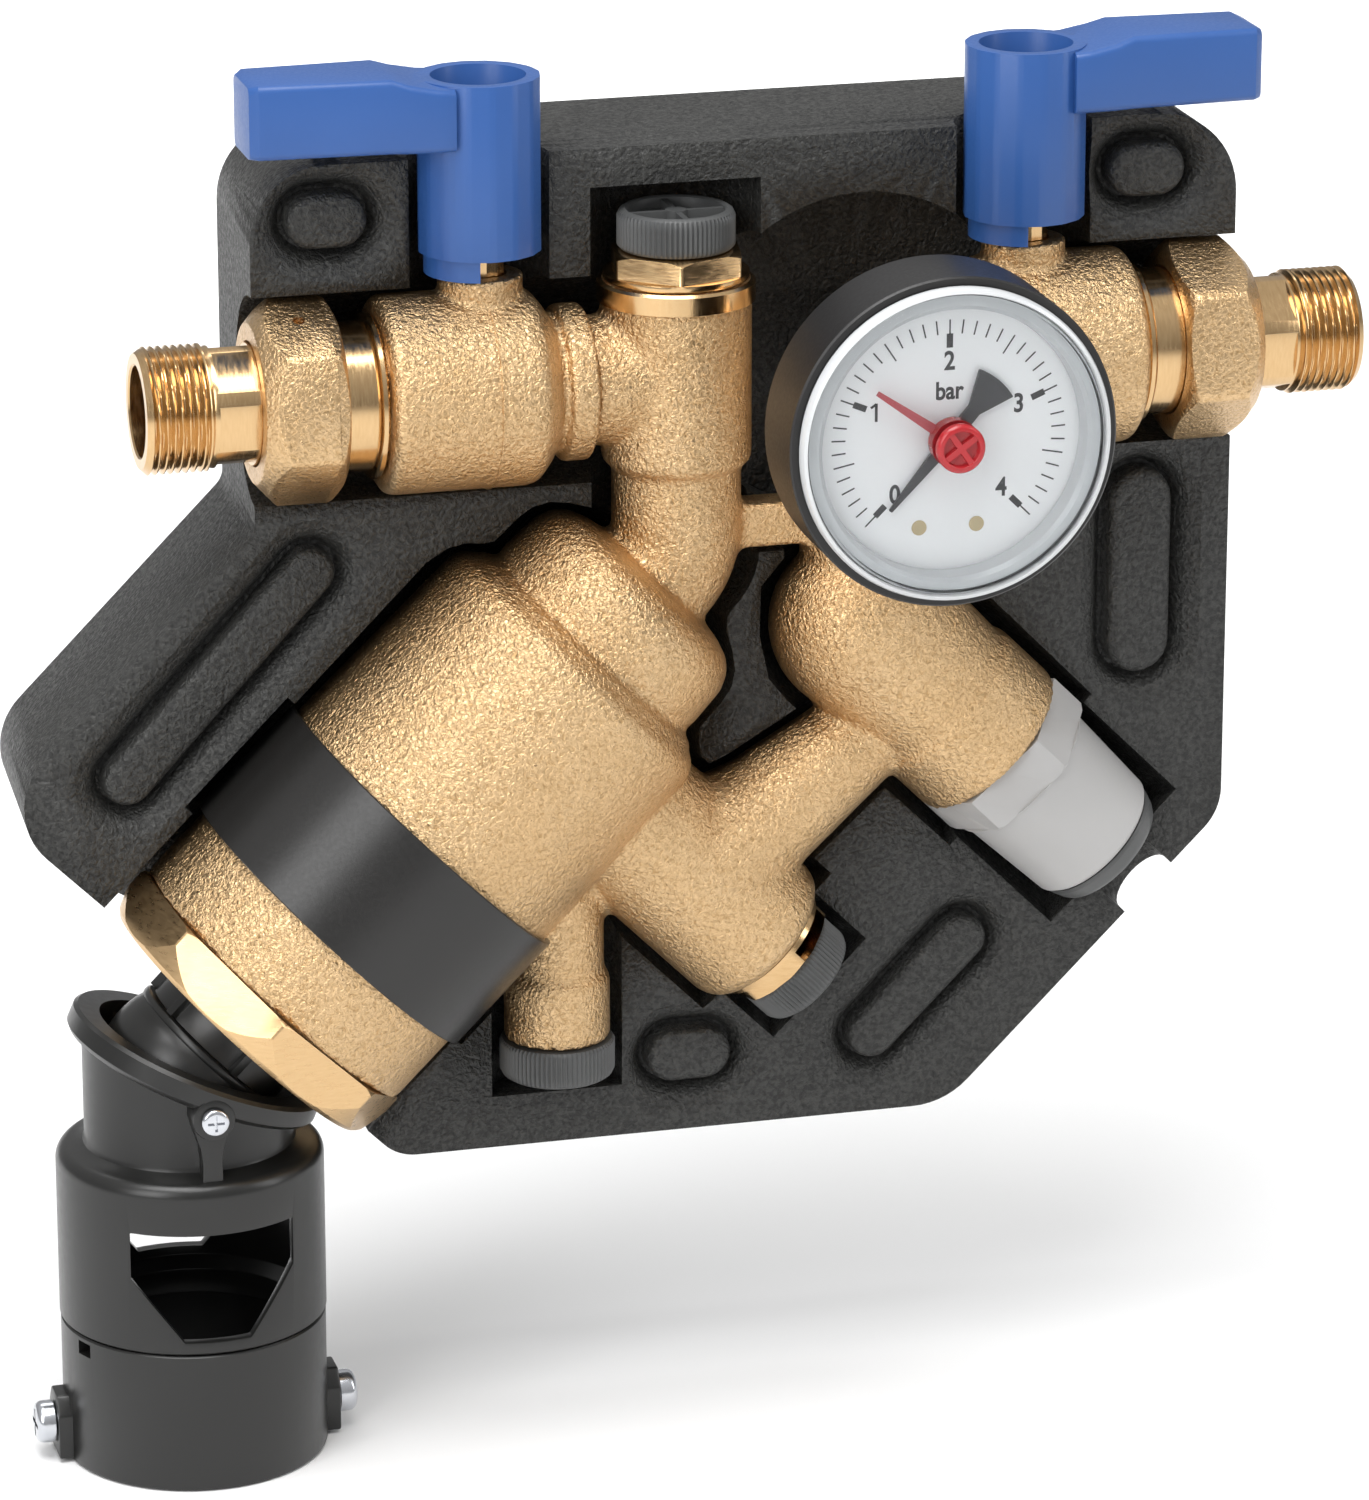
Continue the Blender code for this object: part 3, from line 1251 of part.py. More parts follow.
def needle():
    angle = math.radians(225.0)
    tip = Vector((math.cos(angle), 0.0, math.sin(angle)))
    edge = Vector((-tip.z, 0.0, tip.x))
    outline = [
        (0.0, 0.0012), (0.0195, 0.0002), (0.0195, -0.0002), (0.0, -0.0012),
        (-0.0060, -0.0010), (-0.0125, -0.0046), (-0.0140, 0.0), (-0.0125, 0.0046), (-0.0060, 0.0010),
    ]
    hand = publish(prism(outline, GAUGE_ORIGIN + FRONT * NEEDLE_Y, tip, edge, FRONT, 0.0006),
                   "gauge_needle", "black_plastic", pivot=GAUGE_ORIGIN + FRONT * NEEDLE_Y)
    arbour_start = GAUGE_ORIGIN + FRONT * (GAUGE_BACK + 0.0070 + GAP)
    arbour = rod(arbour_start, GAUGE_ORIGIN + FRONT * (NEEDLE_Y + 0.0003), 0.0008, 8)
    fuse(hand, arbour, "arbour")


def set_pointer():
    angle = math.radians(145.0)
    tip = Vector((math.cos(angle), 0.0, math.sin(angle)))
    edge = Vector((-tip.z, 0.0, tip.x))
    outline = [(0.0020, 0.0009), (0.0165, 0.0003), (0.0165, -0.0003), (0.0020, -0.0009)]
    neck = POINTER_HUB_R - 0.0016
    section = [
        (POINTER_Y, 0.0),
        (POINTER_Y, POINTER_HUB_R),
        (LENS_FRONT - LENS_T - GAP, POINTER_HUB_R),
        (LENS_FRONT - LENS_T - GAP, neck),
        (LENS_FRONT + GAP, neck),
        (LENS_FRONT + GAP, POINTER_HUB_R),
        (LENS_FRONT + 0.0018, POINTER_HUB_R - 0.0003),
        (LENS_FRONT + 0.0018, 0.0),
    ]
    knob = publish(turned(section, GAUGE_ORIGIN, FRONT, 14), "gauge_set_pointer", "red_plastic",
                   pivot=GAUGE_ORIGIN + FRONT * POINTER_Y)
    level = GAUGE_ORIGIN + FRONT * (POINTER_Y + 0.0002)
    fuse(knob, prism(outline, level, tip, edge, FRONT, 0.0007), "pointer")
    face = GAUGE_ORIGIN + FRONT * (LENS_FRONT + 0.0018)
    reach = Vector((0.0030, 0.0009, 0.0006))
    cut(knob, block(face - reach, face + reach), "slot")


# Insulation shell

def shell_outline():
    """Front outline of the shell: a square top, one chamfered corner and a slanted wing."""
    chamber_line = CHAMBER_ORIGIN.x - CHAMBER_ORIGIN.z
    wing_line = chamber_line - WING_OFFSET * math.sqrt(2.0)
    mouth_sum = CHAMBER_ORIGIN.x + CHAMBER_ORIGIN.z - WING_END_S * math.sqrt(2.0)
    wing_x = (mouth_sum + wing_line) / 2.0
    return rounded([
        (SHELL_LEFT, SHELL_TOP, 0.0130),
        (SHELL_RIGHT, SHELL_TOP, 0.0140),
        (SHELL_RIGHT, SHELL_RIGHT - SHELL_CHAMFER, 0.0100),
        (SHELL_CHAMFER + SHELL_BOTTOM, SHELL_BOTTOM, 0.0140),
        (mouth_sum - SHELL_BOTTOM, SHELL_BOTTOM, 0.0080),
        (wing_x, mouth_sum - wing_x, 0.0120),
        (SHELL_LEFT, SHELL_LEFT - wing_line, 0.0040),
    ])


# Raised islands in the shell's face: centre x, centre z, length, width and slant in degrees
ISLANDS = [
    (-0.0716, 0.0294, 0.0135, 0.0092, 0.0),
    (0.0681, 0.0293, 0.0135, 0.0092, 0.0),
    (-0.0908, -0.0465, 0.0540, 0.0082, 47.0),
    (0.0683, -0.0405, 0.0360, 0.0110, 90.0),
    (0.0297, -0.1120, 0.0310, 0.0085, 45.0),
    (-0.0108, -0.1205, 0.0147, 0.0092, 0.0),
]


def relief(shell, label, x, z, length, width, slant):
    """Cuts a dish into the shell's face and leaves an island standing in it."""
    angle = math.radians(slant)
    across = Vector((math.cos(angle), 0.0, math.sin(angle)))
    up = Vector((-math.sin(angle), 0.0, math.cos(angle)))
    levels = [(RELIEF_MARGIN, -0.0010), (0.0018, RELIEF_DEPTH * 0.75), (0.0007, RELIEF_DEPTH)]
    rings = []
    for margin, depth in levels:
        centre = at(x, z, -depth)
        rings.append([centre + across * a + up * b for a, b in stadium(length, width, margin)])
    cut(shell, loft(rings), label + "_dish")
    foot = at(x, z, -RELIEF_DEPTH - 0.0010)
    island = prism(stadium(length, width), foot, across, up, FRONT, RELIEF_DEPTH + 0.0010)
    fuse(shell, island, label + "_island")


def rear_shell():
    back = SHELL_DEPTH
    outline = shell_outline()
    taper = 1.0 - SHELL_DRAFT / (SHELL_RIGHT - SHELL_LEFT)
    front_edge = [at(x, z) for x, z in outline]
    back_edge = [at(SHELL_RIGHT + (x - SHELL_RIGHT) * taper, z, -back) for x, z in outline]
    shell = publish(loft([front_edge, back_edge]), "rear_shell", "expanded_foam", smooth_angle=25.0)
    cut(shell, rod(at(-0.12, 0.0), at(0.12, 0.0), CHANNEL_R, 24, math.pi / 24), "pipe_channel")
    for label, side in (("inlet", -1.0), ("outlet", 1.0)):
        x = side * VALVE_X
        cut(shell, rod(at(x, 0.0050), at(x, 0.06), SLOT_R), label + "_handle_slot")
    tee_r = TEE_RING_R + 0.0015
    cut(shell, rod(at(TEE_X, 0.0324), at(TEE_X, CHAMBER_LEVEL - 0.0045), tee_r, 20), "tee_pocket")
    web_gap = 0.0018
    web_low = at(TEE_X + DOWNPIPE_R * 0.5, WEB_BOTTOM - web_gap, 0.01)
    web_high = at(RISER_X - RISER_R * 0.5, WEB_TOP + web_gap, -WEB_T / 2.0 - web_gap)
    cut(shell, block(web_low, web_high), "web_pocket")
    gap = POCKET_GAP
    pocket = [
        (-0.0040, 0.0),
        (-0.0040, DOWNPIPE_R + gap),
        (DOME_START - 0.0010, DOWNPIPE_R + gap),
        (DOME_START + 0.0010, DOME_R),
        (DOME_START + 0.0060, DOME_R + gap),
        (SHOULDER - 0.0020, DOME_R + gap),
        (SHOULDER + 0.0020, CHAMBER_R + 0.0010),
        (SHOULDER + 0.0070, CHAMBER_R + gap),
        (BAND_START - 0.0010, CHAMBER_R + gap),
        (BAND_START - 0.0010, CHAMBER_R + gap + 0.0017),
        (BAND_START + BAND_WIDTH + 0.0010, CHAMBER_R + gap + 0.0017),
        (BAND_START + BAND_WIDTH + 0.0010, CHAMBER_R + gap),
        (0.1300, CHAMBER_R + gap),
        (0.1300, 0.0),
    ]
    cut(shell, turned(pocket, CHAMBER_ORIGIN, DOWN_LEFT, 24, math.pi / 24), "chamber_pocket")
    drain_r = CAP_R + 0.0016
    cut(shell, rod(at(DRAIN_X, -0.06), at(DRAIN_X, -0.1245), drain_r, 20, math.pi / 20), "drain_pocket")
    cap_end = TEST_END + GAP + TEST_HEX + CAP_LENGTH
    test_pocket = [
        (0.0, 0.0),
        (0.0, TEST_R + 0.0020),
        (TEST_END + 0.0012, TEST_R + 0.0020),
        (TEST_END + 0.0012, CAP_R + 0.0018),
        (cap_end + 0.0030, CAP_R + 0.0018),
        (cap_end + 0.0030, 0.0),
    ]
    cut(shell, turned(test_pocket, TEST_ORIGIN, DOWN_RIGHT, 20, math.pi / 20), "test_pocket")
    cut(shell, loft(bridge_rings(0.0022)), "bridge_pocket")
    bonnet_end = BONNET_END + 0.0056
    reducer_pocket = [
        (-REDUCER_BALL_R - 0.0026, 0.0),
        (-REDUCER_BALL_R - 0.0020, REDUCER_BALL_R * 0.45),
        (-REDUCER_BALL_R * 0.75, REDUCER_BALL_R * 0.85),
        (-0.0050, REDUCER_BALL_R + 0.0020),
        (0.0, REDUCER_BALL_R + 0.0026),
        (REDUCER_END + BONNET_BASE + 0.0010, REDUCER_R + 0.0024),
        (REDUCER_END + BONNET_BASE + 0.0010, BONNET_R + 0.0022),
        (bonnet_end, BONNET_R + 0.0022),
        (bonnet_end, 0.0),
    ]
    cut(shell, turned(reducer_pocket, REDUCER_ORIGIN, DOWN_RIGHT, 24, math.pi / 24), "reducer_pocket")
    cut(shell, rod(at(RISER_X, -0.04), at(RISER_X, 0.0), RISER_R + 0.0030, 18, math.pi / 18), "riser_pocket")
    depth = GAUGE_POCKET_DEPTH
    pocket_start = GAUGE_ORIGIN + FRONT * 0.01
    cut(shell, rod(pocket_start, GAUGE_ORIGIN - FRONT * depth, GAUGE_POCKET_R, 28), "gauge_pocket")
    key_depth = KEY_SLOT_DEPTH - KEY_SLOT_R
    key_outline = [(-KEY_SLOT_R, -0.01), (KEY_SLOT_R, -0.01)]
    for step in range(9):
        turn = math.pi * step / 8.0
        key_outline.append((KEY_SLOT_R * math.cos(turn), key_depth + KEY_SLOT_R * math.sin(turn)))
    key_start = REDUCER_ORIGIN + DOWN_RIGHT * (bonnet_end - 0.002)
    cut(shell, prism(key_outline, key_start, DOWN_RIGHT.cross(Y_AXIS), Y_AXIS, DOWN_RIGHT, 0.03), "key_slot")
    for index, island in enumerate(ISLANDS):
        relief(shell, "relief%d" % index, *island)


def build():
    clear_scene()
    rear_shell()
    main_body()
    label_band()
    valve("inlet", -1.0)
    valve("outlet", 1.0)
    strainer_plug()
    knurled_cap("drain_cap", at(DRAIN_X, DRAIN_END_Z), -Z_AXIS, CAP_R)
    test_plug()
    check_length = 0.0110
    check_valve("upstream", CHAMBER_ORIGIN, DOWN_LEFT, CHECK_BORE_START + GAP, check_length,
                CHECK_BORE_R - GAP, CHECK_BORE_R - 0.0055)
    check_valve("downstream", TEST_ORIGIN, DOWN_RIGHT, TEST_END - 0.0335, check_length,
                TEST_BORE_R - GAP, TEST_BORE_R - 0.0025)
    relief_valve()
    discharge_nut()
    discharge_cup()
    tundish_body()
    drain_collar()
    clamp_screw("clamp_screw_left", -1.0)
    clamp_screw("clamp_screw_right", 1.0)
    pivot_screw("pivot_screw_front", -1.0)
    pivot_screw("pivot_screw_back", 1.0)
    reducer()
    gauge()
    needle()
    set_pointer()


build()
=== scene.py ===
# %% [markdown]
# # A boiler filling unit in its foam shell
# Water enters on the left, passes a ball valve and the big slanted backflow preventer, turns
# up through the reducing valve with its gauge and leaves on the right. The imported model
# comes first: every piece made below sits where that model says.

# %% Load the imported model
import math

import bmesh
import bpy
from mathutils import Matrix, Vector


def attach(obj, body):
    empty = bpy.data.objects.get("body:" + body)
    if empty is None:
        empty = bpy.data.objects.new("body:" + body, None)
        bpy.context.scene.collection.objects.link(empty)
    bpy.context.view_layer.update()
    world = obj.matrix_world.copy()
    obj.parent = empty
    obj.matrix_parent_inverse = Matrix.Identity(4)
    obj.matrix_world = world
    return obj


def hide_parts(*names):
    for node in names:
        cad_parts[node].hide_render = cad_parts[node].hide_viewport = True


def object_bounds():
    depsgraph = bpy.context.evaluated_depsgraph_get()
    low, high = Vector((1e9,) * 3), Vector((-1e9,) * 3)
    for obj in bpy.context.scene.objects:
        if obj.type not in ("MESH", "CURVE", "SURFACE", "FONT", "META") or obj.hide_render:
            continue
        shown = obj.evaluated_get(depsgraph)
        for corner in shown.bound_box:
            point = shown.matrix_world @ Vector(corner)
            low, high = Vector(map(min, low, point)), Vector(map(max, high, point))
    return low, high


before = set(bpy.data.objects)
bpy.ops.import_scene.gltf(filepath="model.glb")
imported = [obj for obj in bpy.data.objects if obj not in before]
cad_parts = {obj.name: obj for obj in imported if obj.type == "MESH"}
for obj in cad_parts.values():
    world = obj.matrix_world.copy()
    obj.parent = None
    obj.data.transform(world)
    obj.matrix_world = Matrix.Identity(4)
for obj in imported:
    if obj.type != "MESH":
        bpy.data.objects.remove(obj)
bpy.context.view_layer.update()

# %% [markdown]
# The places and sizes come from the unit itself, in metres. The pipe axis runs along X,
# 35 mm in front of the wall. The preventer hangs from it at 45 degrees to the left, and the
# reducing valve at 45 degrees to the right.

# %% Places and sizes
PIPE_Y = -0.035
X_AXIS = Vector((1.0, 0.0, 0.0))
Y_AXIS = Vector((0.0, 1.0, 0.0))
Z_AXIS = Vector((0.0, 0.0, 1.0))
FRONT = -Y_AXIS
DOWN_LEFT = Vector((-1.0, 0.0, -1.0)).normalized()
DOWN_RIGHT = Vector((1.0, 0.0, -1.0)).normalized()


def at(x, z, forward=0.0):
    """A point of the pipe's middle plane, moved forward of it."""
    return Vector((x, PIPE_Y - forward, z))


FIT = 0.0003
HALF_SPAN = 0.2073 / 2.0
VALVE_X = 0.0464
TEE_X = -0.0133
DRAIN_X = -0.0342
RISER_X = 0.0187
CHAMBER = at(TEE_X, -0.0306)
TEST = CHAMBER + DOWN_LEFT * 0.0384
PIVOT = CHAMBER + DOWN_LEFT * 0.1195
REDUCER = at(RISER_X, -0.0453)
GAUGE = at(RISER_X, 0.0)
SEAM = PIVOT.z - 0.0415
COLLAR_BOTTOM = SEAM - 0.0248
print("preventer pivot", [round(value, 4) for value in PIVOT])

# %% [markdown]
# Most of the unit was made on a lathe or drawn as a flat outline, so two helpers make most
# of its pieces: one spins a section round an axis, one pushes an outline along a line. A
# third rounds every sharp edge a little, because no real edge is perfectly sharp and the
# light needs a rounded edge to draw a line on.

# %% Shape helpers
def side_of(axis, phase=0.0):
    """A direction square to the axis, turned round it by the phase."""
    side = X_AXIS.copy() if abs(axis.dot(Y_AXIS)) > 0.9 else Y_AXIS.cross(axis).normalized()
    return Matrix.Rotation(phase, 3, axis) @ side


def soften(bm, width, segments=2, sharper_than=28.0):
    """Bevels every edge that is sharper than an angle in degrees."""
    bmesh.ops.recalc_face_normals(bm, faces=bm.faces)
    limit = math.radians(sharper_than)
    sharp = [edge for edge in bm.edges if edge.is_manifold and edge.calc_face_angle(0.0) > limit]
    bmesh.ops.bevel(
        bm, geom=sharp, offset=width, offset_type="OFFSET", segments=segments, profile=0.5,
        affect="EDGES", clamp_overlap=True, material=-1,
    )
    return bm


def turned(section, origin, axis, steps=96, soft=0.0, phase=0.05):
    """Spins a closed section of (along, radius) points round an axis."""
    bm = bmesh.new()
    side = side_of(axis, phase)
    corners = [bm.verts.new(origin + axis * along + side * radius) for along, radius in section]
    for index, corner in enumerate(corners):
        following = (index + 1) % len(corners)
        if section[index][1] > 1e-9 or section[following][1] > 1e-9:
            bm.edges.new((corner, corners[following]))
    bmesh.ops.spin(
        bm, geom=list(bm.verts) + list(bm.edges), cent=origin, axis=axis, angle=math.tau,
        steps=steps, use_merge=True,
    )
    bmesh.ops.remove_doubles(bm, verts=bm.verts, dist=1e-7)
    bmesh.ops.recalc_face_normals(bm, faces=bm.faces)
    if soft > 0.0:
        soften(bm, soft)
    return bm


def rod(start, end, radius, steps=64, soft=0.0, phase=0.05):
    length = (end - start).length
    section = [(0.0, 0.0), (0.0, radius), (length, radius), (length, 0.0)]
    return turned(section, start, (end - start).normalized(), steps, soft, phase)


def ring(origin, axis, start, end, inner, outer, steps=96, soft=0.0):
    section = [(start, inner), (start, outer), (end, outer), (end, inner)]
    return turned(section, origin, axis, steps, soft)


def prism(outline, origin, across, up, direction, depth, soft=0.0):
    """Pushes an outline of (across, up) points along a direction."""
    bm = bmesh.new()
    face = bm.faces.new([bm.verts.new(origin + across * a + up * b) for a, b in outline])
    grown = bmesh.ops.extrude_face_region(bm, geom=[face])
    moved = [item for item in grown["geom"] if isinstance(item, bmesh.types.BMVert)]
    bmesh.ops.translate(bm, verts=moved, vec=direction * depth)
    bmesh.ops.recalc_face_normals(bm, faces=bm.faces)
    if soft > 0.0:
        soften(bm, soft)
    return bm


def block(low, high, soft=0.0):
    bm = bmesh.new()
    bmesh.ops.create_cube(bm, size=1.0)
    bmesh.ops.scale(bm, vec=high - low, verts=bm.verts)
    bmesh.ops.translate(bm, vec=(low + high) / 2.0, verts=bm.verts)
    if soft > 0.0:
        soften(bm, soft)
    return bm


def nut_bar(origin, axis, start, end, sides, flats, turn=0.0):
    """A bar of nut section, for trimming a turned blank to its flats."""
    across = side_of(axis)
    radius = flats / 2.0 / math.cos(math.pi / sides)
    turns = [math.tau * i / sides + turn for i in range(sides)]
    outline = [(radius * math.cos(angle), radius * math.sin(angle)) for angle in turns]
    return prism(outline, origin + axis * start, across, axis.cross(across), axis, end - start)


def circle(centre, axis, radius, steps=64, phase=0.09):
    across = side_of(axis, phase)
    up = axis.cross(across)
    turns = [math.tau * i / steps for i in range(steps)]
    return [centre + (across * math.cos(turn) + up * math.sin(turn)) * radius for turn in turns]


def loft(rings):
    """Bridges loops of points into a closed skin."""
    bm = bmesh.new()
    loops = []
    for points in rings:
        corners = [bm.verts.new(point) for point in points]
        loops.append([bm.edges.new((corners[i - 1], corners[i])) for i in range(len(corners))])
    for first, second in zip(loops, loops[1:]):
        bmesh.ops.bridge_loops(bm, edges=first + second)
    bmesh.ops.holes_fill(bm, edges=bm.edges, sides=0)
    bmesh.ops.recalc_face_normals(bm, faces=bm.faces)
    return bm


def rounded(corners, facet=6.0):
    """An outline with its corners rounded: each corner is (across, up, radius)."""
    outline = []
    for index, (x, z, radius) in enumerate(corners):
        here = Vector((x, z))
        if radius <= 0.0:
            outline.append(tuple(here))
            continue
        to_before = (Vector(corners[index - 1][:2]) - here).normalized()
        to_after = (Vector(corners[(index + 1) % len(corners)][:2]) - here).normalized()
        half = to_before.angle(to_after) / 2.0
        centre = here + (to_before + to_after).normalized() * (radius / math.sin(half))
        first = here + to_before * (radius / math.tan(half)) - centre
        sweep = first.angle_signed(here + to_after * (radius / math.tan(half)) - centre)
        steps = max(2, round(abs(sweep) / math.radians(facet)))
        for step in range(steps + 1):
            spoke = Matrix.Rotation(-sweep * step / steps, 2) @ first
            outline.append(tuple(centre + spoke))
    return outline


def arc(centre_along, centre_radius, radius, start, end, steps=8):
    """Section points on an arc, in degrees from the axis direction."""
    turns = [math.radians(start + (end - start) * i / steps) for i in range(steps + 1)]
    return [(centre_along + radius * math.cos(a), centre_radius + radius * math.sin(a)) for a in turns]


# %% [markdown]
# Pieces are joined and cut with Boolean modifiers on spare objects, which are applied and
# thrown away. A casting is treated as the foundry does it: the rough forms are put
# together, a voxel remesh melts them into one skin, and smoothing leaves the fillets that
# molten metal leaves in a mould. The machined bores are cut afterwards, so they stay crisp.

# %% Joining, cutting and melting
def spare(bm, name):
    mesh = bpy.data.meshes.new(name)
    bm.to_mesh(mesh)
    bm.free()
    made = bpy.data.objects.new(name, mesh)
    bpy.context.scene.collection.objects.link(made)
    return made


def settled(base):
    """The mesh of an object with its modifiers applied, as a bmesh."""
    depsgraph = bpy.context.evaluated_depsgraph_get()
    mesh = bpy.data.meshes.new_from_object(base.evaluated_get(depsgraph))
    bm = bmesh.new()
    bm.from_mesh(mesh)
    bpy.data.meshes.remove(mesh)
    return bm


def worked(bm, add=(), cut=(), keep=(), edge=0.0, segments=2, angle=32.0, solver="EXACT"):
    """Adds, cuts and trims solids, then rounds what is left by an edge width."""
    base = spare(bm, "work_base")
    tools = []
    jobs = [("UNION", tool) for tool in add] + [("INTERSECT", tool) for tool in keep]
    jobs += [("DIFFERENCE", tool) for tool in cut]
    for operation, tool_bm in jobs:
        tool = spare(tool_bm, "work_tool")
        tool.hide_render = True
        tools.append(tool)
        step = base.modifiers.new("step", "BOOLEAN")
        step.operation = operation
        step.solver = solver
        step.object = tool
    if edge > 0.0:
        bevel = base.modifiers.new("edge", "BEVEL")
        bevel.width = edge
        bevel.segments = segments
        bevel.limit_method = "ANGLE"
        bevel.angle_limit = math.radians(angle)
        bevel.use_clamp_overlap = True
        bevel.miter_outer = "MITER_ARC"
    result = settled(base)
    for item in tools + [base]:
        bpy.data.objects.remove(item, do_unlink=True)
    return result


def melted(forms, voxel, rounds):
    """Melts overlapping closed forms into one skin with soft fillets."""
    whole = bmesh.new()
    for form in forms:
        mesh = bpy.data.meshes.new("form")
        form.to_mesh(mesh)
        form.free()
        whole.from_mesh(mesh)
        bpy.data.meshes.remove(mesh)
    base = spare(whole, "melt")
    remesh = base.modifiers.new("melt", "REMESH")
    remesh.mode = "VOXEL"
    remesh.voxel_size = voxel
    smooth = base.modifiers.new("fillet", "SMOOTH")
    smooth.factor = 0.5
    smooth.iterations = rounds
    result = settled(base)
    bpy.data.objects.remove(base, do_unlink=True)
    return result


# %% [markdown]
# Every finish is a small node tree. One function adds a node with its settings and its
# links, and another starts a material with its Principled shader. Colours are written as
# sRGB hex values, the way a colour picker shows them, and are turned to linear light.

# %% Material helpers
def linear(code):
    """A linear colour from an sRGB hex value."""
    channels = [int(code[i:i + 2], 16) / 255.0 for i in (1, 3, 5)]
    return [c / 12.92 if c <= 0.04045 else ((c + 0.055) / 1.055) ** 2.4 for c in channels] + [1.0]


def add(tree, kind, settings=None, links=None):
    """Adds a node. Settings name its sockets or its properties, links its sockets."""
    made = tree.nodes.new(kind)
    for key, value in (settings or {}).items():
        if not isinstance(key, int) and hasattr(made, key):
            setattr(made, key, value)
        else:
            made.inputs[key].default_value = value
    for key, source in (links or {}).items():
        tree.links.new(source, made.inputs[key])
    return made


def start(name, settings):
    """A new material with only its shader, and the object's own coordinates."""
    material = bpy.data.materials.new(name)
    material.use_nodes = True
    tree = material.node_tree
    shader = tree.nodes["Principled BSDF"]
    for key, value in settings.items():
        shader.inputs[key].default_value = value
    coords = add(tree, "ShaderNodeTexCoord").outputs["Object"]
    return material, tree, shader, coords


def per(millimetres):
    """Texture scale that repeats every so many millimetres."""
    return 1000.0 / millimetres


# %% [markdown]
# Cast brass comes out of a sand mould and is blasted with shot, so it is covered with
# small dents under a millimetre apart. The dents catch the light one by one, which is why
# the castings glitter. Their bottoms are painted a little darker than the tops: partly
# painted shade in the dents, partly the oxide that sits in them. Two noises make them: a
# warped one for the dents and a finer one for the sand.

# %% Brass finishes
def cast_brass(name, dent_mm, depth):
    material, tree, shader, coords = start(name, {"Metallic": 1.0})
    warp = add(tree, "ShaderNodeTexNoise", {"Scale": per(dent_mm * 1.6), "Detail": 1.0, "Distortion": 0.6},
               {"Vector": coords})
    sand = add(tree, "ShaderNodeTexNoise", {"Scale": per(dent_mm), "Detail": 3.0, "Roughness": 0.55, "Distortion": 0.8},
               {"Vector": coords})
    height = add(tree, "ShaderNodeMath", {"operation": "MULTIPLY_ADD", 1: 0.6},
                 {0: warp.outputs["Fac"], 2: sand.outputs["Fac"]})
    bump = add(tree, "ShaderNodeBump", {"Strength": 0.8, "Distance": depth}, {"Height": height.outputs["Value"]})
    cloud = add(tree, "ShaderNodeTexNoise", {"Scale": per(14.0), "Detail": 3.0}, {"Vector": coords})
    clean = add(tree, "ShaderNodeMix", {"data_type": "RGBA", 6: linear("#CFAC7E"), 7: linear("#DBBC92")},
                {0: cloud.outputs["Fac"]})
    # The low points of the sand are painted darker: partly painted shade in the dents, partly oxide in them.
    dent_shade_and_oxide = add(tree, "ShaderNodeMapRange", {"From Min": 0.32, "From Max": 0.52, "To Min": 0.0, "To Max": 1.0},
               {"Value": sand.outputs["Fac"]})
    tone = add(tree, "ShaderNodeMix", {"data_type": "RGBA", 6: linear("#BA986B")},
               {0: dent_shade_and_oxide.outputs["Result"], 7: clean.outputs["Result"]})
    rough = add(tree, "ShaderNodeMapRange", {"From Min": 0.3, "From Max": 0.7, "To Min": 0.36, "To Max": 0.27},
                {"Value": sand.outputs["Fac"]})
    tree.links.new(tone.outputs["Result"], shader.inputs["Base Color"])
    tree.links.new(rough.outputs["Result"], shader.inputs["Roughness"])
    tree.links.new(bump.outputs["Normal"], shader.inputs["Normal"])
    return material


# Turned brass is cut on a lathe or milled: smooth, bright, with faint streaks from the tool.
def turned_brass(name, colour, streak_axis, rough_low=0.14, rough_high=0.24):
    material, tree, shader, coords = start(name, {"Metallic": 1.0})
    squeeze = [per(2.2)] * 3
    squeeze["XYZ".index(streak_axis)] = per(0.35)
    stretch = add(tree, "ShaderNodeMapping", {"Scale": squeeze}, {"Vector": coords})
    streaks = add(tree, "ShaderNodeTexNoise", {"Scale": 1.0, "Detail": 2.0}, {"Vector": stretch.outputs["Vector"]})
    bump = add(tree, "ShaderNodeBump", {"Strength": 0.25, "Distance": 0.00003}, {"Height": streaks.outputs["Fac"]})
    rough = add(tree, "ShaderNodeMapRange", {"From Min": 0.3, "From Max": 0.7, "To Min": rough_low, "To Max": rough_high},
                {"Value": streaks.outputs["Fac"]})
    tone = add(tree, "ShaderNodeMix", {"data_type": "RGBA", 6: linear(colour), 7: linear("#DDBD8F")},
               {0: streaks.outputs["Fac"]})
    tree.links.new(tone.outputs["Result"], shader.inputs["Base Color"])
    tree.links.new(rough.outputs["Result"], shader.inputs["Roughness"])
    tree.links.new(bump.outputs["Normal"], shader.inputs["Normal"])
    return material


casting_brass = cast_brass("sand_cast_shot_blasted_brass", 0.68, 0.00062)
nut_brass = cast_brass("hot_stamped_brass", 0.65, 0.00032)
lathe_brass = turned_brass("turned_brass", "#C9A475", "X")
plug_brass = turned_brass("turned_brass_plugs", "#C8A272", "Z")
milled_brass = turned_brass("milled_brass", "#CDA97B", "Z", 0.26, 0.36)
print("brass finishes", casting_brass.name, nut_brass.name, lathe_brass.name)

# %% [markdown]
# The shell is expanded polypropylene: beads of foam that steam has welded in a mould. The
# skin keeps a fine leathery grain, and the borders of the beads show through it faintly.

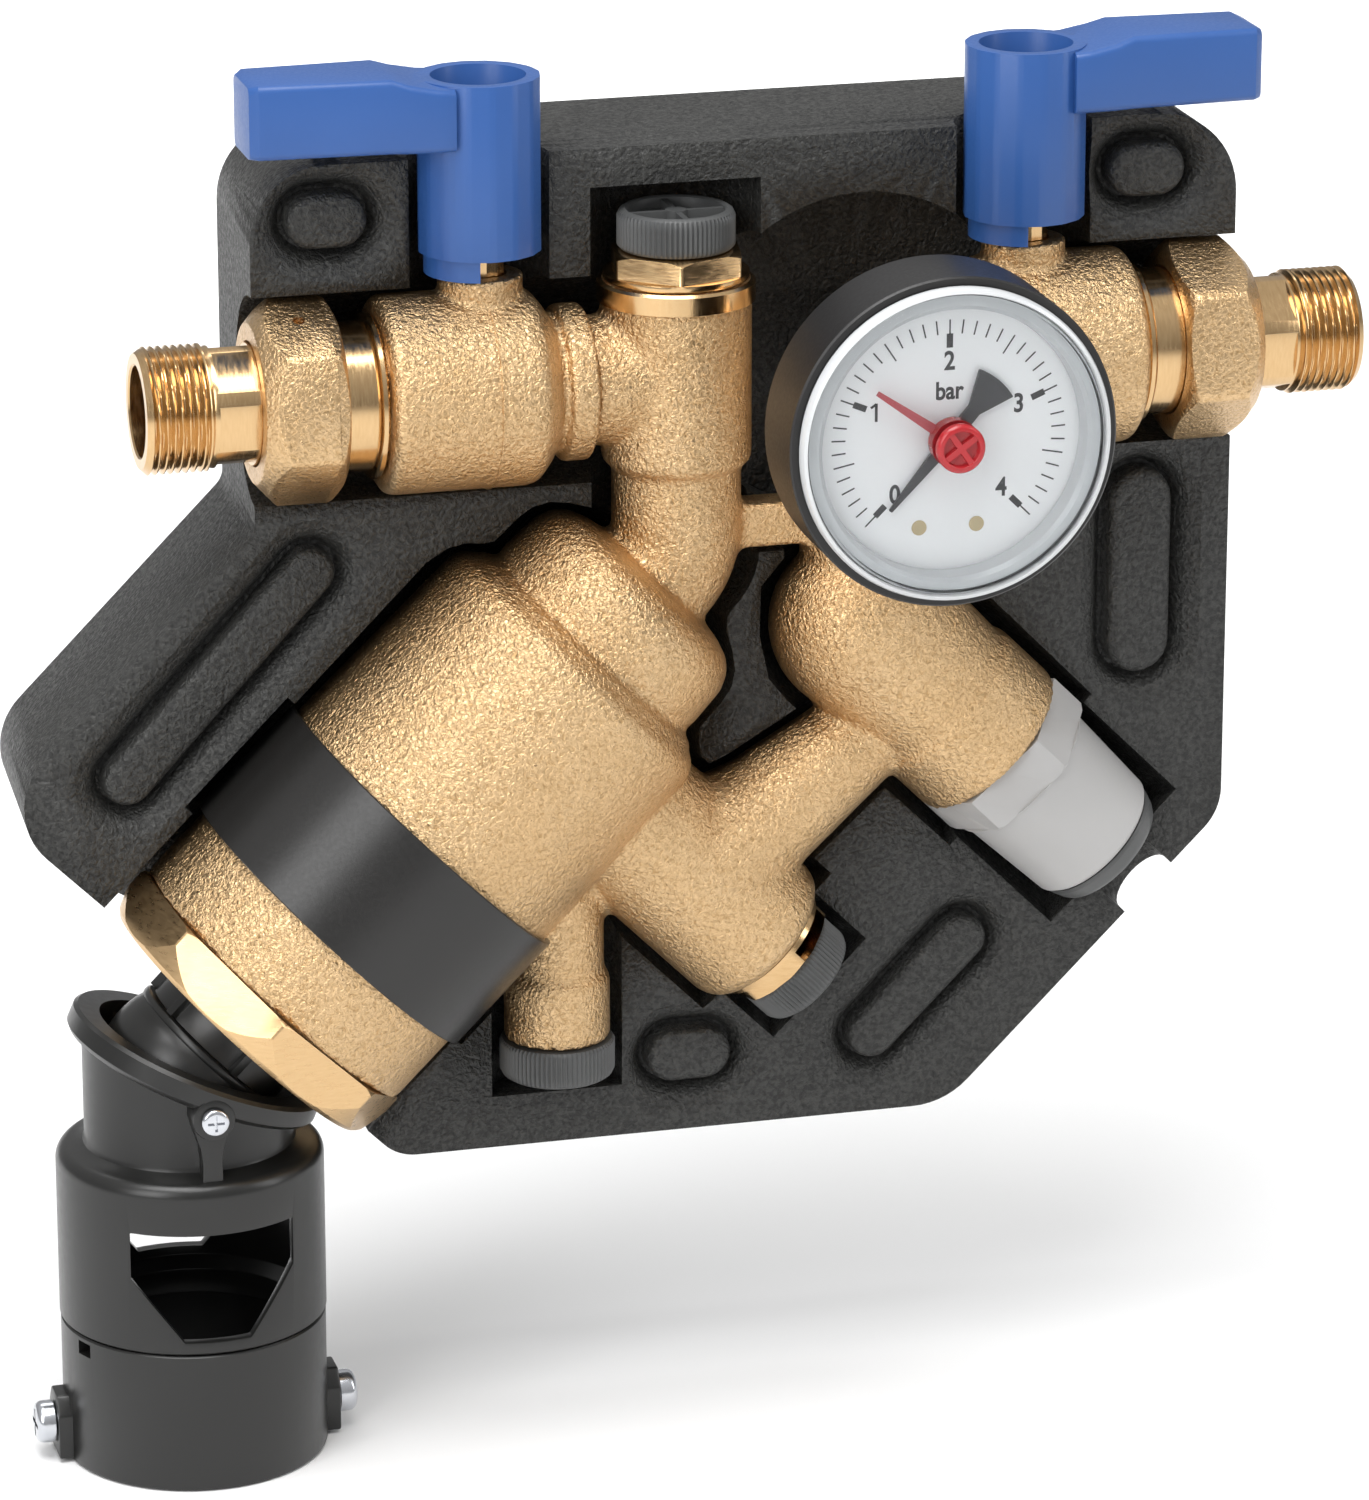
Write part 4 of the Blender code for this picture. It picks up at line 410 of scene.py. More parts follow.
# %% Foam finish
def expanded_foam():
    material, tree, shader, coords = start("expanded_polypropylene_foam", {"Specular IOR Level": 0.42})
    grain = add(tree, "ShaderNodeTexNoise", {"Scale": per(0.80), "Detail": 2.0, "Roughness": 0.55, "Distortion": 0.4},
                {"Vector": coords})
    beads = add(tree, "ShaderNodeTexVoronoi", {"feature": "DISTANCE_TO_EDGE", "Scale": per(3.6)}, {"Vector": coords})
    seams = add(tree, "ShaderNodeMapRange", {"From Min": 0.0, "From Max": 0.09, "To Min": 0.0, "To Max": 0.16},
                {"Value": beads.outputs["Distance"]})
    height = add(tree, "ShaderNodeMath", {"operation": "ADD"}, {0: grain.outputs["Fac"], 1: seams.outputs["Result"]})
    bump = add(tree, "ShaderNodeBump", {"Strength": 0.95, "Distance": 0.00060}, {"Height": height.outputs["Value"]})
    # The high points of the grain are painted lighter: a painted highlight of the glints on the grain.
    painted_grain_highlight = add(tree, "ShaderNodeMapRange", {"From Min": 0.38, "From Max": 0.62, "To Min": 0.0, "To Max": 1.0},
                {"Value": grain.outputs["Fac"]})
    tone = add(tree, "ShaderNodeMix", {"data_type": "RGBA", 6: linear("#222221"), 7: linear("#373735")},
               {0: painted_grain_highlight.outputs["Result"]})
    rough = add(tree, "ShaderNodeMapRange", {"From Min": 0.3, "From Max": 0.7, "To Min": 0.62, "To Max": 0.38},
                {"Value": grain.outputs["Fac"]})
    tree.links.new(tone.outputs["Result"], shader.inputs["Base Color"])
    tree.links.new(rough.outputs["Result"], shader.inputs["Roughness"])
    tree.links.new(bump.outputs["Normal"], shader.inputs["Normal"])
    return material


foam = expanded_foam()

# %% [markdown]
# Moulded plastics are near smooth. A spark-eroded mould leaves a faint grain, and the
# colour is a touch uneven where the melt flowed. One function covers the levers, the
# tundish, the caps and the gauge case, which differ in colour, gloss and grain.

# %% Plastic finishes
def moulded(name, dark, light, rough_low, rough_high, grain_mm=0.6, depth=0.00002, extra=None):
    material, tree, shader, coords = start(name, extra or {})
    flow = add(tree, "ShaderNodeTexNoise", {"Scale": per(22.0), "Detail": 2.0}, {"Vector": coords})
    grain = add(tree, "ShaderNodeTexNoise", {"Scale": per(grain_mm), "Detail": 2.0}, {"Vector": coords})
    tone = add(tree, "ShaderNodeMix", {"data_type": "RGBA", 6: linear(dark), 7: linear(light)},
               {0: flow.outputs["Fac"]})
    rough = add(tree, "ShaderNodeMapRange", {"From Min": 0.3, "From Max": 0.7, "To Min": rough_low, "To Max": rough_high},
                {"Value": grain.outputs["Fac"]})
    bump = add(tree, "ShaderNodeBump", {"Strength": 0.4, "Distance": depth}, {"Height": grain.outputs["Fac"]})
    tree.links.new(tone.outputs["Result"], shader.inputs["Base Color"])
    tree.links.new(rough.outputs["Result"], shader.inputs["Roughness"])
    tree.links.new(bump.outputs["Normal"], shader.inputs["Normal"])
    return material


blue_nylon = moulded("moulded_blue_nylon", "#28508F", "#305A9C", 0.34, 0.44)
black_pp = moulded("moulded_black_polypropylene", "#191918", "#1E1E1D", 0.28, 0.33, 1.6, 0.000004)
sleeve_film = moulded("black_label_film", "#1B1A19", "#232221", 0.28, 0.36)
case_black = moulded("moulded_black_abs", "#161515", "#1E1D1D", 0.36, 0.44)
cap_grey = moulded("moulded_grey_nylon", "#454646", "#545555", 0.38, 0.48)
bonnet_grey = moulded("moulded_light_grey_nylon", "#A4A3A2", "#B6B5B4", 0.36, 0.44)
white_seal = moulded("moulded_ptfe", "#E6E4DF", "#F0EEEA", 0.35, 0.45)
rubber = moulded("moulded_rubber", "#232322", "#2C2C2B", 0.60, 0.72)
dial_white = moulded("white_enamelled_dial", "#FAFAFA", "#FFFFFF", 0.42, 0.48, 0.4, 0.000005)
dial_ink = moulded("dark_printing_ink", "#3C3B3C", "#464546", 0.45, 0.55, 0.4, 0.000005)
red_clear = moulded("clear_red_acrylic", "#B3242A", "#C53037", 0.10, 0.16, 0.8, 0.000005, {"Transmission Weight": 0.25, "IOR": 1.49})
pointer_red = moulded("red_lacquered_pointer", "#B5484F", "#C0555B", 0.35, 0.45)
needle_black = moulded("black_lacquered_needle", "#414042", "#4A494B", 0.40, 0.50)

# %% [markdown]
# Clear acrylic, zinc plate and hard chrome finish the small pieces. Clear acrylic keeps a
# very fine unevenness so that its reflections aren't those of a perfect mirror.

# %% Clear and plated finishes
def clear_acrylic():
    material, tree, shader, coords = start("clear_acrylic", {
        "Base Color": linear("#F7F9FA"), "Transmission Weight": 1.0, "IOR": 1.25, "Roughness": 0.01,
    })
    wave = add(tree, "ShaderNodeTexNoise", {"Scale": per(9.0), "Detail": 1.0}, {"Vector": coords})
    bump = add(tree, "ShaderNodeBump", {"Strength": 0.15, "Distance": 0.00004}, {"Height": wave.outputs["Fac"]})
    tree.links.new(bump.outputs["Normal"], shader.inputs["Normal"])
    return material


def plated(name, dark, light, rough_low, rough_high):
    material, tree, shader, coords = start(name, {"Metallic": 1.0})
    mottle = add(tree, "ShaderNodeTexNoise", {"Scale": per(1.6), "Detail": 3.0}, {"Vector": coords})
    tone = add(tree, "ShaderNodeMix", {"data_type": "RGBA", 6: linear(dark), 7: linear(light)},
               {0: mottle.outputs["Fac"]})
    rough = add(tree, "ShaderNodeMapRange", {"From Min": 0.3, "From Max": 0.7, "To Min": rough_low, "To Max": rough_high},
                {"Value": mottle.outputs["Fac"]})
    tree.links.new(tone.outputs["Result"], shader.inputs["Base Color"])
    tree.links.new(rough.outputs["Result"], shader.inputs["Roughness"])
    return material


lens_clear = clear_acrylic()
lens_frosted = moulded("frosted_acrylic", "#C6C8CA", "#D2D4D5", 0.20, 0.26, 0.8, 0.000005)
zinc = plated("bright_zinc_plated_steel", "#C3C6CC", "#D6D8DC", 0.16, 0.26)
chrome = plated("hard_chrome_on_brass", "#D8DADC", "#E4E5E6", 0.05, 0.10)
spring_steel = plated("drawn_spring_steel", "#8E8F91", "#A2A3A5", 0.26, 0.36)
dial_brass = plated("dull_brass_pin", "#BFAE8C", "#CDBD9C", 0.45, 0.55)
print(len(bpy.data.materials), "materials in the file")


# %% [markdown]
# A finished piece gets its faces smoothed with sharp edges kept, its finish and the body
# that it moves with, and the model's pieces that it stands for are hidden.

# %% Handing a piece over
def hand_over(bm, name, finish, body, nodes=(), smooth_angle=35.0):
    bmesh.ops.remove_doubles(bm, verts=bm.verts, dist=1e-7)
    mesh = bpy.data.meshes.new(name)
    bm.to_mesh(mesh)
    bm.free()
    mesh.shade_smooth()
    mesh.set_sharp_from_angle(angle=math.radians(smooth_angle))
    mesh.materials.append(finish)
    piece = bpy.data.objects.new(name, mesh)
    bpy.context.scene.collection.objects.link(piece)
    if nodes:
        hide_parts(*nodes)
    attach(piece, body)
    triangles = sum(len(face.vertices) - 2 for face in mesh.polygons)
    print("%-24s %7d triangles" % (name, triangles))
    return piece


def threaded(bm, origin, axis, low, high, radius, pitch, depth):
    """Presses a screw thread into the verts of a turned surface."""
    side = side_of(axis)
    up = axis.cross(side)
    for vert in bm.verts:
        offset = vert.co - origin
        along = offset.dot(axis)
        spoke = offset - axis * along
        if low <= along <= high and spoke.length > radius - 1e-5:
            turn = math.atan2(spoke.dot(up), spoke.dot(side)) / math.tau
            share = (along / pitch - turn) % 1.0
            fade = min(1.0, (along - low) / (0.6 * pitch), (high - along) / (0.3 * pitch) + 0.2)
            cut = abs(share * 2.0 - 1.0)
            vert.co -= spoke.normalized() * depth * fade * min(1.0, max(0.0, 1.25 * cut - 0.12))


def knurled(bm, origin, axis, low, high, radius, ribs, depth):
    """Presses straight ribs into the verts of a turned surface."""
    side = side_of(axis)
    up = axis.cross(side)
    for vert in bm.verts:
        offset = vert.co - origin
        along = offset.dot(axis)
        spoke = offset - axis * along
        if low <= along <= high and spoke.length > radius - 1e-5:
            turn = math.atan2(spoke.dot(up), spoke.dot(side))
            vert.co -= spoke.normalized() * depth * (0.5 - 0.5 * math.cos(ribs * turn))


def stepped(low, high, radius, step):
    """Section points at an even step, for a surface that will be threaded or ribbed."""
    count = max(1, round((high - low) / step))
    return [(low + (high - low) * i / count, radius) for i in range(count + 1)]

# %% [markdown]
# ## The casting
# One brass casting carries everything: the tee, the bend, the preventer's chamber with its
# drain and test branches, the duct across, the reducing valve's body and the outlet riser.
# Its rough forms are spun and lofted, melted together at under a millimetre, and smoothed.

# %% Rough forms of the casting
NECK_R = 0.0108
NECK_END = VALVE_X - 0.0171 - FIT
BEND_R = 0.0120
DOWNPIPE_R = 0.0108
CHAMBER_R = 0.0280
CHAMBER_END = 0.0986
SPIGOT_END = 0.1023
REDUCER_R = 0.0153
REDUCER_END = 0.0322


def chamber_form():
    shoulder = 0.0210
    dome = 0.0216
    section = [(0.0054, 0.0), (0.0054, 0.0116)]
    section += [(0.0060, 0.0150), (0.0072, 0.0181), (0.0090, 0.0200), (0.0118, 0.0212), (shoulder - 0.0020, dome)]
    section += [(shoulder - 0.0002, dome - 0.0006), (shoulder + 0.0010, dome + 0.0022)]
    section += arc(shoulder + 0.0058, CHAMBER_R - 0.0052, 0.0042, 180.0, 90.0, 6)
    section += [(0.0294, CHAMBER_R - 0.0009), (0.0620, CHAMBER_R), (CHAMBER_END, CHAMBER_R), (CHAMBER_END, 0.0)]
    return turned(section, CHAMBER, DOWN_LEFT, 128)


def bend_form():
    hinge = CHAMBER + Z_AXIS * (BEND_R * math.tan(math.radians(22.5))) - X_AXIS * BEND_R
    rings = [circle(at(TEE_X, -0.0105), -Z_AXIS, DOWNPIPE_R)]
    for step in range(10):
        turn = math.radians(5.0 * step)
        spoke = X_AXIS * math.cos(turn) - Z_AXIS * math.sin(turn)
        heading = -Z_AXIS * math.cos(turn) - X_AXIS * math.sin(turn)
        rings.append(circle(hinge + spoke * BEND_R, heading, DOWNPIPE_R))
    rings.append(circle(CHAMBER + DOWN_LEFT * 0.0094, DOWN_LEFT, DOWNPIPE_R))
    return loft(rings)


def bridge_points(count=14):
    """Centres and radii of the duct that runs from the test branch to the reducing valve."""
    stations = ((0.0, 0.0400, 0.0142), (0.35, 0.0443, 0.0105), (0.70, 0.0470, 0.0086), (1.0, 0.0485, 0.0074))
    span = (REDUCER - TEST).dot(-DOWN_LEFT)
    points = []
    for step in range(count + 1):
        share = step / count
        for low, high in zip(stations, stations[1:]):
            if low[0] <= share <= high[0] + 1e-9:
                mix = (share - low[0]) / (high[0] - low[0])
                slide = low[1] + (high[1] - low[1]) * mix
                radius = low[2] + (high[2] - low[2]) * mix
        points.append((TEST - DOWN_LEFT * (span * share) + DOWN_RIGHT * slide, radius))
    return points


def drain_form():
    section = [(0.0, 0.0), (0.0, 0.0080), (0.0322, 0.0080), (0.0334, 0.0090), (0.0441, 0.0090), (0.0441, 0.0)]
    return turned(section, at(DRAIN_X, -0.0700), -Z_AXIS, 72)


def casting_forms():
    forms = [chamber_form(), bend_form()]
    forms.append(turned([(-0.0145, 0.0), (-0.0145, 0.0119), (-0.0139, 0.0125), (0.0135, 0.0125), (0.0135, 0.0)],
                        at(TEE_X, 0.0), Z_AXIS, 80))
    forms.append(rod(at(-NECK_END, 0.0), at(TEE_X, 0.0), NECK_R))
    forms.append(rod(at(RISER_X, 0.0), at(NECK_END, 0.0), NECK_R))
    forms.append(drain_form())
    test = [(0.0, 0.0), (0.0, 0.0139), (0.0570, 0.0139)] + arc(0.0570, 0.0107, 0.0031, 90.0, 0.0, 5) + [(0.0601, 0.0)]
    forms.append(turned(test, TEST, DOWN_RIGHT, 88))
    forms.append(loft([circle(centre, -DOWN_LEFT, radius) for centre, radius in bridge_points()]))
    top = -REDUCER.z
    riser = [(0.0, 0.0), (0.0, 0.0103)] + [(top + 0.0098 * math.sin(a), 0.0103 * math.cos(a)) for a in
                                           [math.radians(9.0 * i) for i in range(10)]] + [(top + 0.0098, 0.0)]
    forms.append(turned(riser, REDUCER, Z_AXIS, 72))
    globe = [(-0.0155 * math.cos(a), 0.0155 * math.sin(a)) for a in [math.radians(7.5 * i) for i in range(13)]]
    globe[0] = (-0.0155, 0.0)
    barrel = globe + [(0.0196, 0.0146), (0.0203, REDUCER_R), (REDUCER_END, REDUCER_R), (REDUCER_END, 0.0)]
    forms.append(turned(barrel, REDUCER, DOWN_RIGHT, 96))
    forms.append(rod(GAUGE + FRONT * 0.0060, GAUGE + FRONT * 0.0168, 0.0095))
    forms.append(block(at(TEE_X + 0.0065, -0.0300, 0.0035), at(RISER_X - 0.0062, -0.0225, -0.0035)))
    return forms


cast_skin = melted(casting_forms(), 0.00078, 4)
print("melted casting", len(cast_skin.faces), "faces")

# %% [markdown]
# The melted skin is then machined: the collar of the tee is turned, the spigot for the big
# nut and the small spigots for the caps are added, and every bore that the water takes is
# cut, with the steps where the check valves and the relief valve sit.

# %% Machine the casting
TEE_TOP = 0.0165
DRAIN_END_Z = -0.1141


def machined_casting(skin):
    collar = [(0.0128, 0.0), (0.0128, 0.0126), (0.0139, 0.0130), (0.0162, 0.0130), (TEE_TOP, 0.0127), (TEE_TOP, 0.0)]
    added = [
        turned(collar, at(TEE_X, 0.0), Z_AXIS, 96),
        rod(CHAMBER + DOWN_LEFT * (CHAMBER_END - 0.002), CHAMBER + DOWN_LEFT * SPIGOT_END, 0.0255, 96),
        rod(at(DRAIN_X, DRAIN_END_Z + 0.002), at(DRAIN_X, DRAIN_END_Z - 0.0040), 0.0070, 48),
    ]
    relief = [(-0.0013, 0.0), (-0.0013, 0.0079), (0.0089, 0.0079), (0.0089, 0.0165), (0.0249, 0.0165),
              (0.0249, 0.0235), (0.1123, 0.0235), (0.1123, 0.0)]
    mouth = [(-0.0040, 0.0), (-0.0040, 0.0070), (0.0080, 0.0070), (0.0080, 0.0110), (0.0422, 0.0110), (0.0422, 0.0)]
    centres = bridge_points(4)
    duct = [circle(centre + direction * 0.0015, -DOWN_LEFT, 0.0060) for (centre, _), direction in
            zip(centres, (-DOWN_LEFT, Vector(), Vector(), Vector(), DOWN_LEFT))]
    bores = [
        rod(at(TEE_X, 0.0265), CHAMBER + Z_AXIS * 0.0020, 0.0083, 48, 0.0, 0.02),
        rod(at(-NECK_END - 0.01, 0.0), at(TEE_X - 0.0020, 0.0), 0.0075, 48, 0.0, 0.03),
        turned(relief, CHAMBER, DOWN_LEFT, 80, 0.0, 0.07),
        rod(at(DRAIN_X, -0.0650), at(DRAIN_X, -0.1341), 0.0050, 40, 0.0, 0.11),
        rod(TEST + DOWN_RIGHT * 0.0150, TEST + DOWN_RIGHT * 0.0700, 0.0095, 48, 0.0, 0.13),
        loft(duct),
        turned(mouth, REDUCER, DOWN_RIGHT, 56, 0.0, 0.03),
        rod(REDUCER + Z_AXIS * 0.0021, at(RISER_X, 0.0012), 0.0062, 40, 0.0, 0.17),
        rod(at(RISER_X + 0.0020, 0.0), at(NECK_END + 0.01, 0.0), 0.0075, 48, 0.0, 0.09),
        rod(GAUGE + FRONT * 0.0015, GAUGE + FRONT * 0.03, 0.0040, 32, 0.0, 0.21),
    ]
    return worked(skin, added, bores)


hand_over(machined_casting(cast_skin), "brass_casting", casting_brass, "unit", ["main_body"], 50.0)

# %% [markdown]
# ## The ball valves
# Each valve is a small casting with a collar towards the middle, a boss for its stem, and a
# turned end that the union nut pulls against. The two valves mirror each other.

# %% Valve castings and turned ends
VALVE_R = 0.0165
THREAD_R = 0.0104775
NUT_START = 0.0249
NUT_END = NUT_START + 0.0136
END_R = 0.0123
STEM_HOLE_R = 0.0044
SIDES = (("inlet", -1.0), ("outlet", 1.0))


def valve_casting(centre, out):
    body = [(-0.0171, 0.0), (-0.0171, 0.0128), (-0.0168, 0.0130), (-0.0130, 0.0130), (-0.0126, 0.0127),
            (-0.0124, 0.0116), (-0.0112, 0.0116), (-0.0100, 0.0136), (-0.0082, 0.0158), (-0.0074, 0.0162),
            (-0.0060, VALVE_R), (0.0162, VALVE_R), (0.0172, 0.0161), (0.0178, 0.0149), (0.0178, 0.0)]
    boss = rod(centre + Z_AXIS * 0.0130, centre + Z_AXIS * 0.0195, 0.0070, 56)
    skin = melted([turned(body, centre, out, 96), boss], 0.00052, 3)
    pocket = [(-0.0188, 0.0), (-0.0188, 0.0075), (-0.0108, 0.0075), (-0.0108, 0.0111), (0.0108, 0.0111),
              (0.0108, END_R), (0.0188, END_R), (0.0188, 0.0)]
    stem = rod(centre + Z_AXIS * 0.0040, centre + Z_AXIS * 0.0300, STEM_HOLE_R, 40, 0.0, 0.03)
    parting = turned([(-0.0003, 0.0120), (-0.0001, VALVE_R + 0.00022), (0.0001, VALVE_R + 0.00022), (0.0003, 0.0120)],
                     centre, out, 128)
    return worked(skin, [parting], [turned(pocket, centre, out, 72, 0.0, 0.07), stem])


def valve_end(centre, out):
    tail = NUT_END - 0.0033 - 0.0024 - 0.0018 - 3.0 * FIT
    section = [(0.0108, 0.0075), (0.0108, 0.0105), (0.0117, 0.0105), (0.0121, END_R - FIT), (0.0181, END_R - FIT),
               (0.0181, 0.0133), (0.0185, 0.0137), (0.0192, 0.0137), (0.0196, 0.0133), (0.0198, END_R)]
    section += stepped(0.0205, tail - 0.0006, END_R, 0.00022) + [(tail, END_R - 0.0006), (tail, 0.0075)]
    bm = turned(section, centre, out, 96)
    threaded(bm, centre, out, 0.0253, tail - 0.0006, END_R, 0.0015, 0.0006)
    return bm, tail


for side_name, side in SIDES:
    centre = at(side * VALVE_X, 0.0)
    out = X_AXIS * side
    hand_over(valve_casting(centre, out), side_name + "_valve_casting", casting_brass, "unit",
              [side_name + "_valve_body"], 50.0)
    end_bm, tail = valve_end(centre, out)
    hand_over(end_bm, side_name + "_threaded_end", lathe_brass, "unit", [side_name + "_valve_end"])

# %% [markdown]
# A union nut is a turned blank trimmed to a hexagon: where the chamfer of the blank meets
# the flats it leaves the curved corners that every nut has. The tailpiece behind it shows
# wrench flats and ends in a half inch pipe thread.

# %% Union nuts and tailpieces
TAIL_R = 0.0100


def union_nut(centre, out):
    flats = 0.0300
    corner = flats / 2.0 / math.cos(math.pi / 6.0) - 0.0003
    section = [(NUT_START, END_R + FIT), (NUT_START, corner - 0.0022), (NUT_START + 0.0010, corner - 0.0004),
               (NUT_START + 0.0016, corner), (NUT_END - 0.0035, corner), (NUT_END - 0.0004, 0.0136),
               (NUT_END, 0.0132), (NUT_END, TAIL_R + FIT), (NUT_END - 0.0033, TAIL_R + FIT),
               (NUT_END - 0.0033, END_R + FIT)]
    turn = math.radians(-8.0 * out.x)
    bar = nut_bar(centre, out, NUT_START - 0.001, NUT_END + 0.001, 6, flats, turn)
    lean = math.radians(106.0 if out.x < 0.0 else 286.0)
    outward = Y_AXIS * math.cos(lean) + Z_AXIS * math.sin(lean)
    spot = centre + out * (NUT_START + 0.0062)
    hole = rod(spot + outward * 0.0128, spot + outward * 0.0200, 0.0010, 24)
    nut = worked(turned(section, centre, out, 144), (), (), [bar], 0.00028, 2)
    return worked(nut, (), [hole])


def tailpiece(centre, out, tail):
    begin = tail + FIT * 2.0 + 0.0018
    end = HALF_SPAN - VALVE_X
    thread = end - 0.0110
    section = [(begin, 0.0075), (begin, 0.0118), (begin + 0.0024, 0.0118), (begin + 0.0024, TAIL_R),
               (thread - 0.0006, TAIL_R), (thread, 0.0097)]
    section += stepped(thread + 0.0004, end - 0.0010, THREAD_R, 0.00013)
    section += [(end, THREAD_R - 0.0010), (end, 0.0078), (end - 0.0003, 0.0075)]
    bm = turned(section, centre, out, 120)
    threaded(bm, centre, out, thread + 0.0004, end - 0.0009, THREAD_R, 0.00125, 0.00075)
    flats_low = NUT_END + 0.0004
    flats_high = thread - 0.0009
    slabs = []
    for index in range(6):
        angle = math.tau * index / 6.0 + math.radians(10.0)
        normal = Y_AXIS * math.cos(angle) + Z_AXIS * math.sin(angle)
        low = centre + out * flats_low + normal * 0.0092
        outline = [(-0.008, 0.0), (0.008, 0.0), (0.008, 0.004), (-0.008, 0.004)]
        slabs.append(prism(outline, low, out.cross(normal), normal, out, flats_high - flats_low))
    return worked(bm, (), slabs)


for side_name, side in SIDES:
    centre = at(side * VALVE_X, 0.0)
    out = X_AXIS * side
    hand_over(union_nut(centre, out), side_name + "_hex_nut", nut_brass, side_name + "_nut",
              [side_name + "_union_nut"])
    hand_over(tailpiece(centre, out, tail), side_name + "_threaded_tail", lathe_brass, "unit",
              [side_name + "_tailpiece"])

# %% [markdown]
# The levers are moulded in blue nylon. A lever is a hub with a deep well, whose screw holds
# it on the stem, and a thick paddle. It is joined from the two forms, and a bevel on every
# edge gives the soft corners of a moulding.

# %% Levers, their screws, stems and balls
HUB_R = 0.0101
HUB_BOTTOM = 0.0235
HUB_TOP = 0.0524
ARM_TOP = 0.0541
STEM_R = 0.0040


def lever(centre, out):
    inner = HUB_R - 0.0023
    hub = turned([(HUB_BOTTOM, 0.0035), (HUB_BOTTOM, HUB_R), (HUB_TOP, HUB_R), (HUB_TOP, 0.0035)], centre, Z_AXIS, 96)
    stations = [(inner - 0.0020, 0.0190, HUB_TOP - 0.0004), (HUB_R * 0.85, 0.0190, HUB_TOP - 0.0002),
                (HUB_R + 0.0030, 0.0184, HUB_TOP + 0.0007), (HUB_R + 0.0060, 0.0170, ARM_TOP),
                (0.0376, 0.0150, ARM_TOP), (0.0390, 0.0122, ARM_TOP - 0.0006)]
    rings = []
    for reach, width, top in stations:
        half = width / 2.0
        corners = rounded([(-half, 0.0418, 0.0012), (half, 0.0418, 0.0012), (half, top, 0.0012), (-half, top, 0.0012)], 22.5)
        rings.append([centre + out * reach + Y_AXIS * a + Z_AXIS * b for a, b in corners])
    skirt = worked(ring(centre, Z_AXIS, HUB_BOTTOM - 0.0036, HUB_BOTTOM + 0.0010, inner - 0.0004, HUB_R - 0.0009),
                   (), (), [block(centre + Vector((-0.02, -0.02, 0.0)), centre + Vector((-0.0020, 0.0020, 0.04)))])
    well = rod(centre + Z_AXIS * (HUB_BOTTOM + 0.0040), centre + Z_AXIS * (HUB_TOP + 0.01), inner, 80, 0.0, 0.02)
    facets = nut_bar(centre, Z_AXIS, HUB_BOTTOM - 0.001, HUB_TOP + 0.001, 16, 2.0 * HUB_R * 0.990)
    hub = worked(hub, (), (), [facets])
    return worked(hub, [loft(rings), skirt], [well], (), 0.00045, 2, 40.0)


def pan_screw(origin, axis, shank, head, head_t, length, slot_half, slot_depth):
    """A pan head screw with a cross slot. The origin is under its head."""
    section = [(-length, 0.0), (-length, shank), (0.0, shank), (0.0, head), (head_t * 0.55, head)]
    section += [(head_t * (0.55 + 0.45 * math.sin(a)), head * (0.62 + 0.38 * math.cos(a))) for a in
                [math.radians(15.0 * i) for i in range(1, 7)]]
    section.append((head_t, 0.0))
    bm = turned(section, origin, axis, 48)
    across = side_of(axis)
    up = axis.cross(across)
    cuts = []
    for long_side, short_side in ((across, up), (up, across)):
        outline = [(-slot_half, -0.16 * slot_half), (slot_half, -0.16 * slot_half),
                   (slot_half, 0.16 * slot_half), (-slot_half, 0.16 * slot_half)]
        cuts.append(prism(outline, origin + axis * (head_t - slot_depth), long_side, short_side, axis, 0.01))
    return worked(bm, (), cuts)


def valve_ball(centre, out):
    turns = [math.pi * i / 32 for i in range(33)]
    section = [(0.0105 * math.cos(a), 0.0105 * math.sin(a)) for a in turns]
    section[0], section[-1] = (0.0105, 0.0), (-0.0105, 0.0)
    slot = block(centre + Vector((-0.012, -0.0016, 0.0085)), centre + Vector((0.012, 0.0016, 0.0125)))
    bore = rod(centre - out * 0.02, centre + out * 0.02, 0.0070, 56, 0.0, 0.02)
    return worked(turned(section, centre, Z_AXIS, 64), (), [bore, slot])


for side_name, side in SIDES:
    centre = at(side * VALVE_X, 0.0)
    out = X_AXIS * side
    body = side_name + "_lever"
    hand_over(lever(centre, out), side_name + "_blue_lever", blue_nylon, body, [side_name + "_handle"])
    seat = HUB_BOTTOM + 0.0040 + 0.0008 + FIT
    hand_over(pan_screw(centre + Z_AXIS * seat, Z_AXIS, 0.0014, 0.0048, 0.0028, 0.0060, 0.0030, 0.0014),
              side_name + "_lever_screw", zinc, body, [side_name + "_handle_screw"])
    hand_over(valve_ball(centre, out), side_name + "_chrome_ball", chrome, body, [side_name + "_ball"])

# %% [markdown]
# ## Caps and plugs
# The strainer, the test point and the drain are closed by grey nylon caps with fine ribs
# for the fingers and a dished top. Two of them sit on brass hexagon plugs.

# %% Caps and plugs
CAP_LENGTH = 0.0068
PLUG_HEX = 0.0047
TEST_END = 0.0600


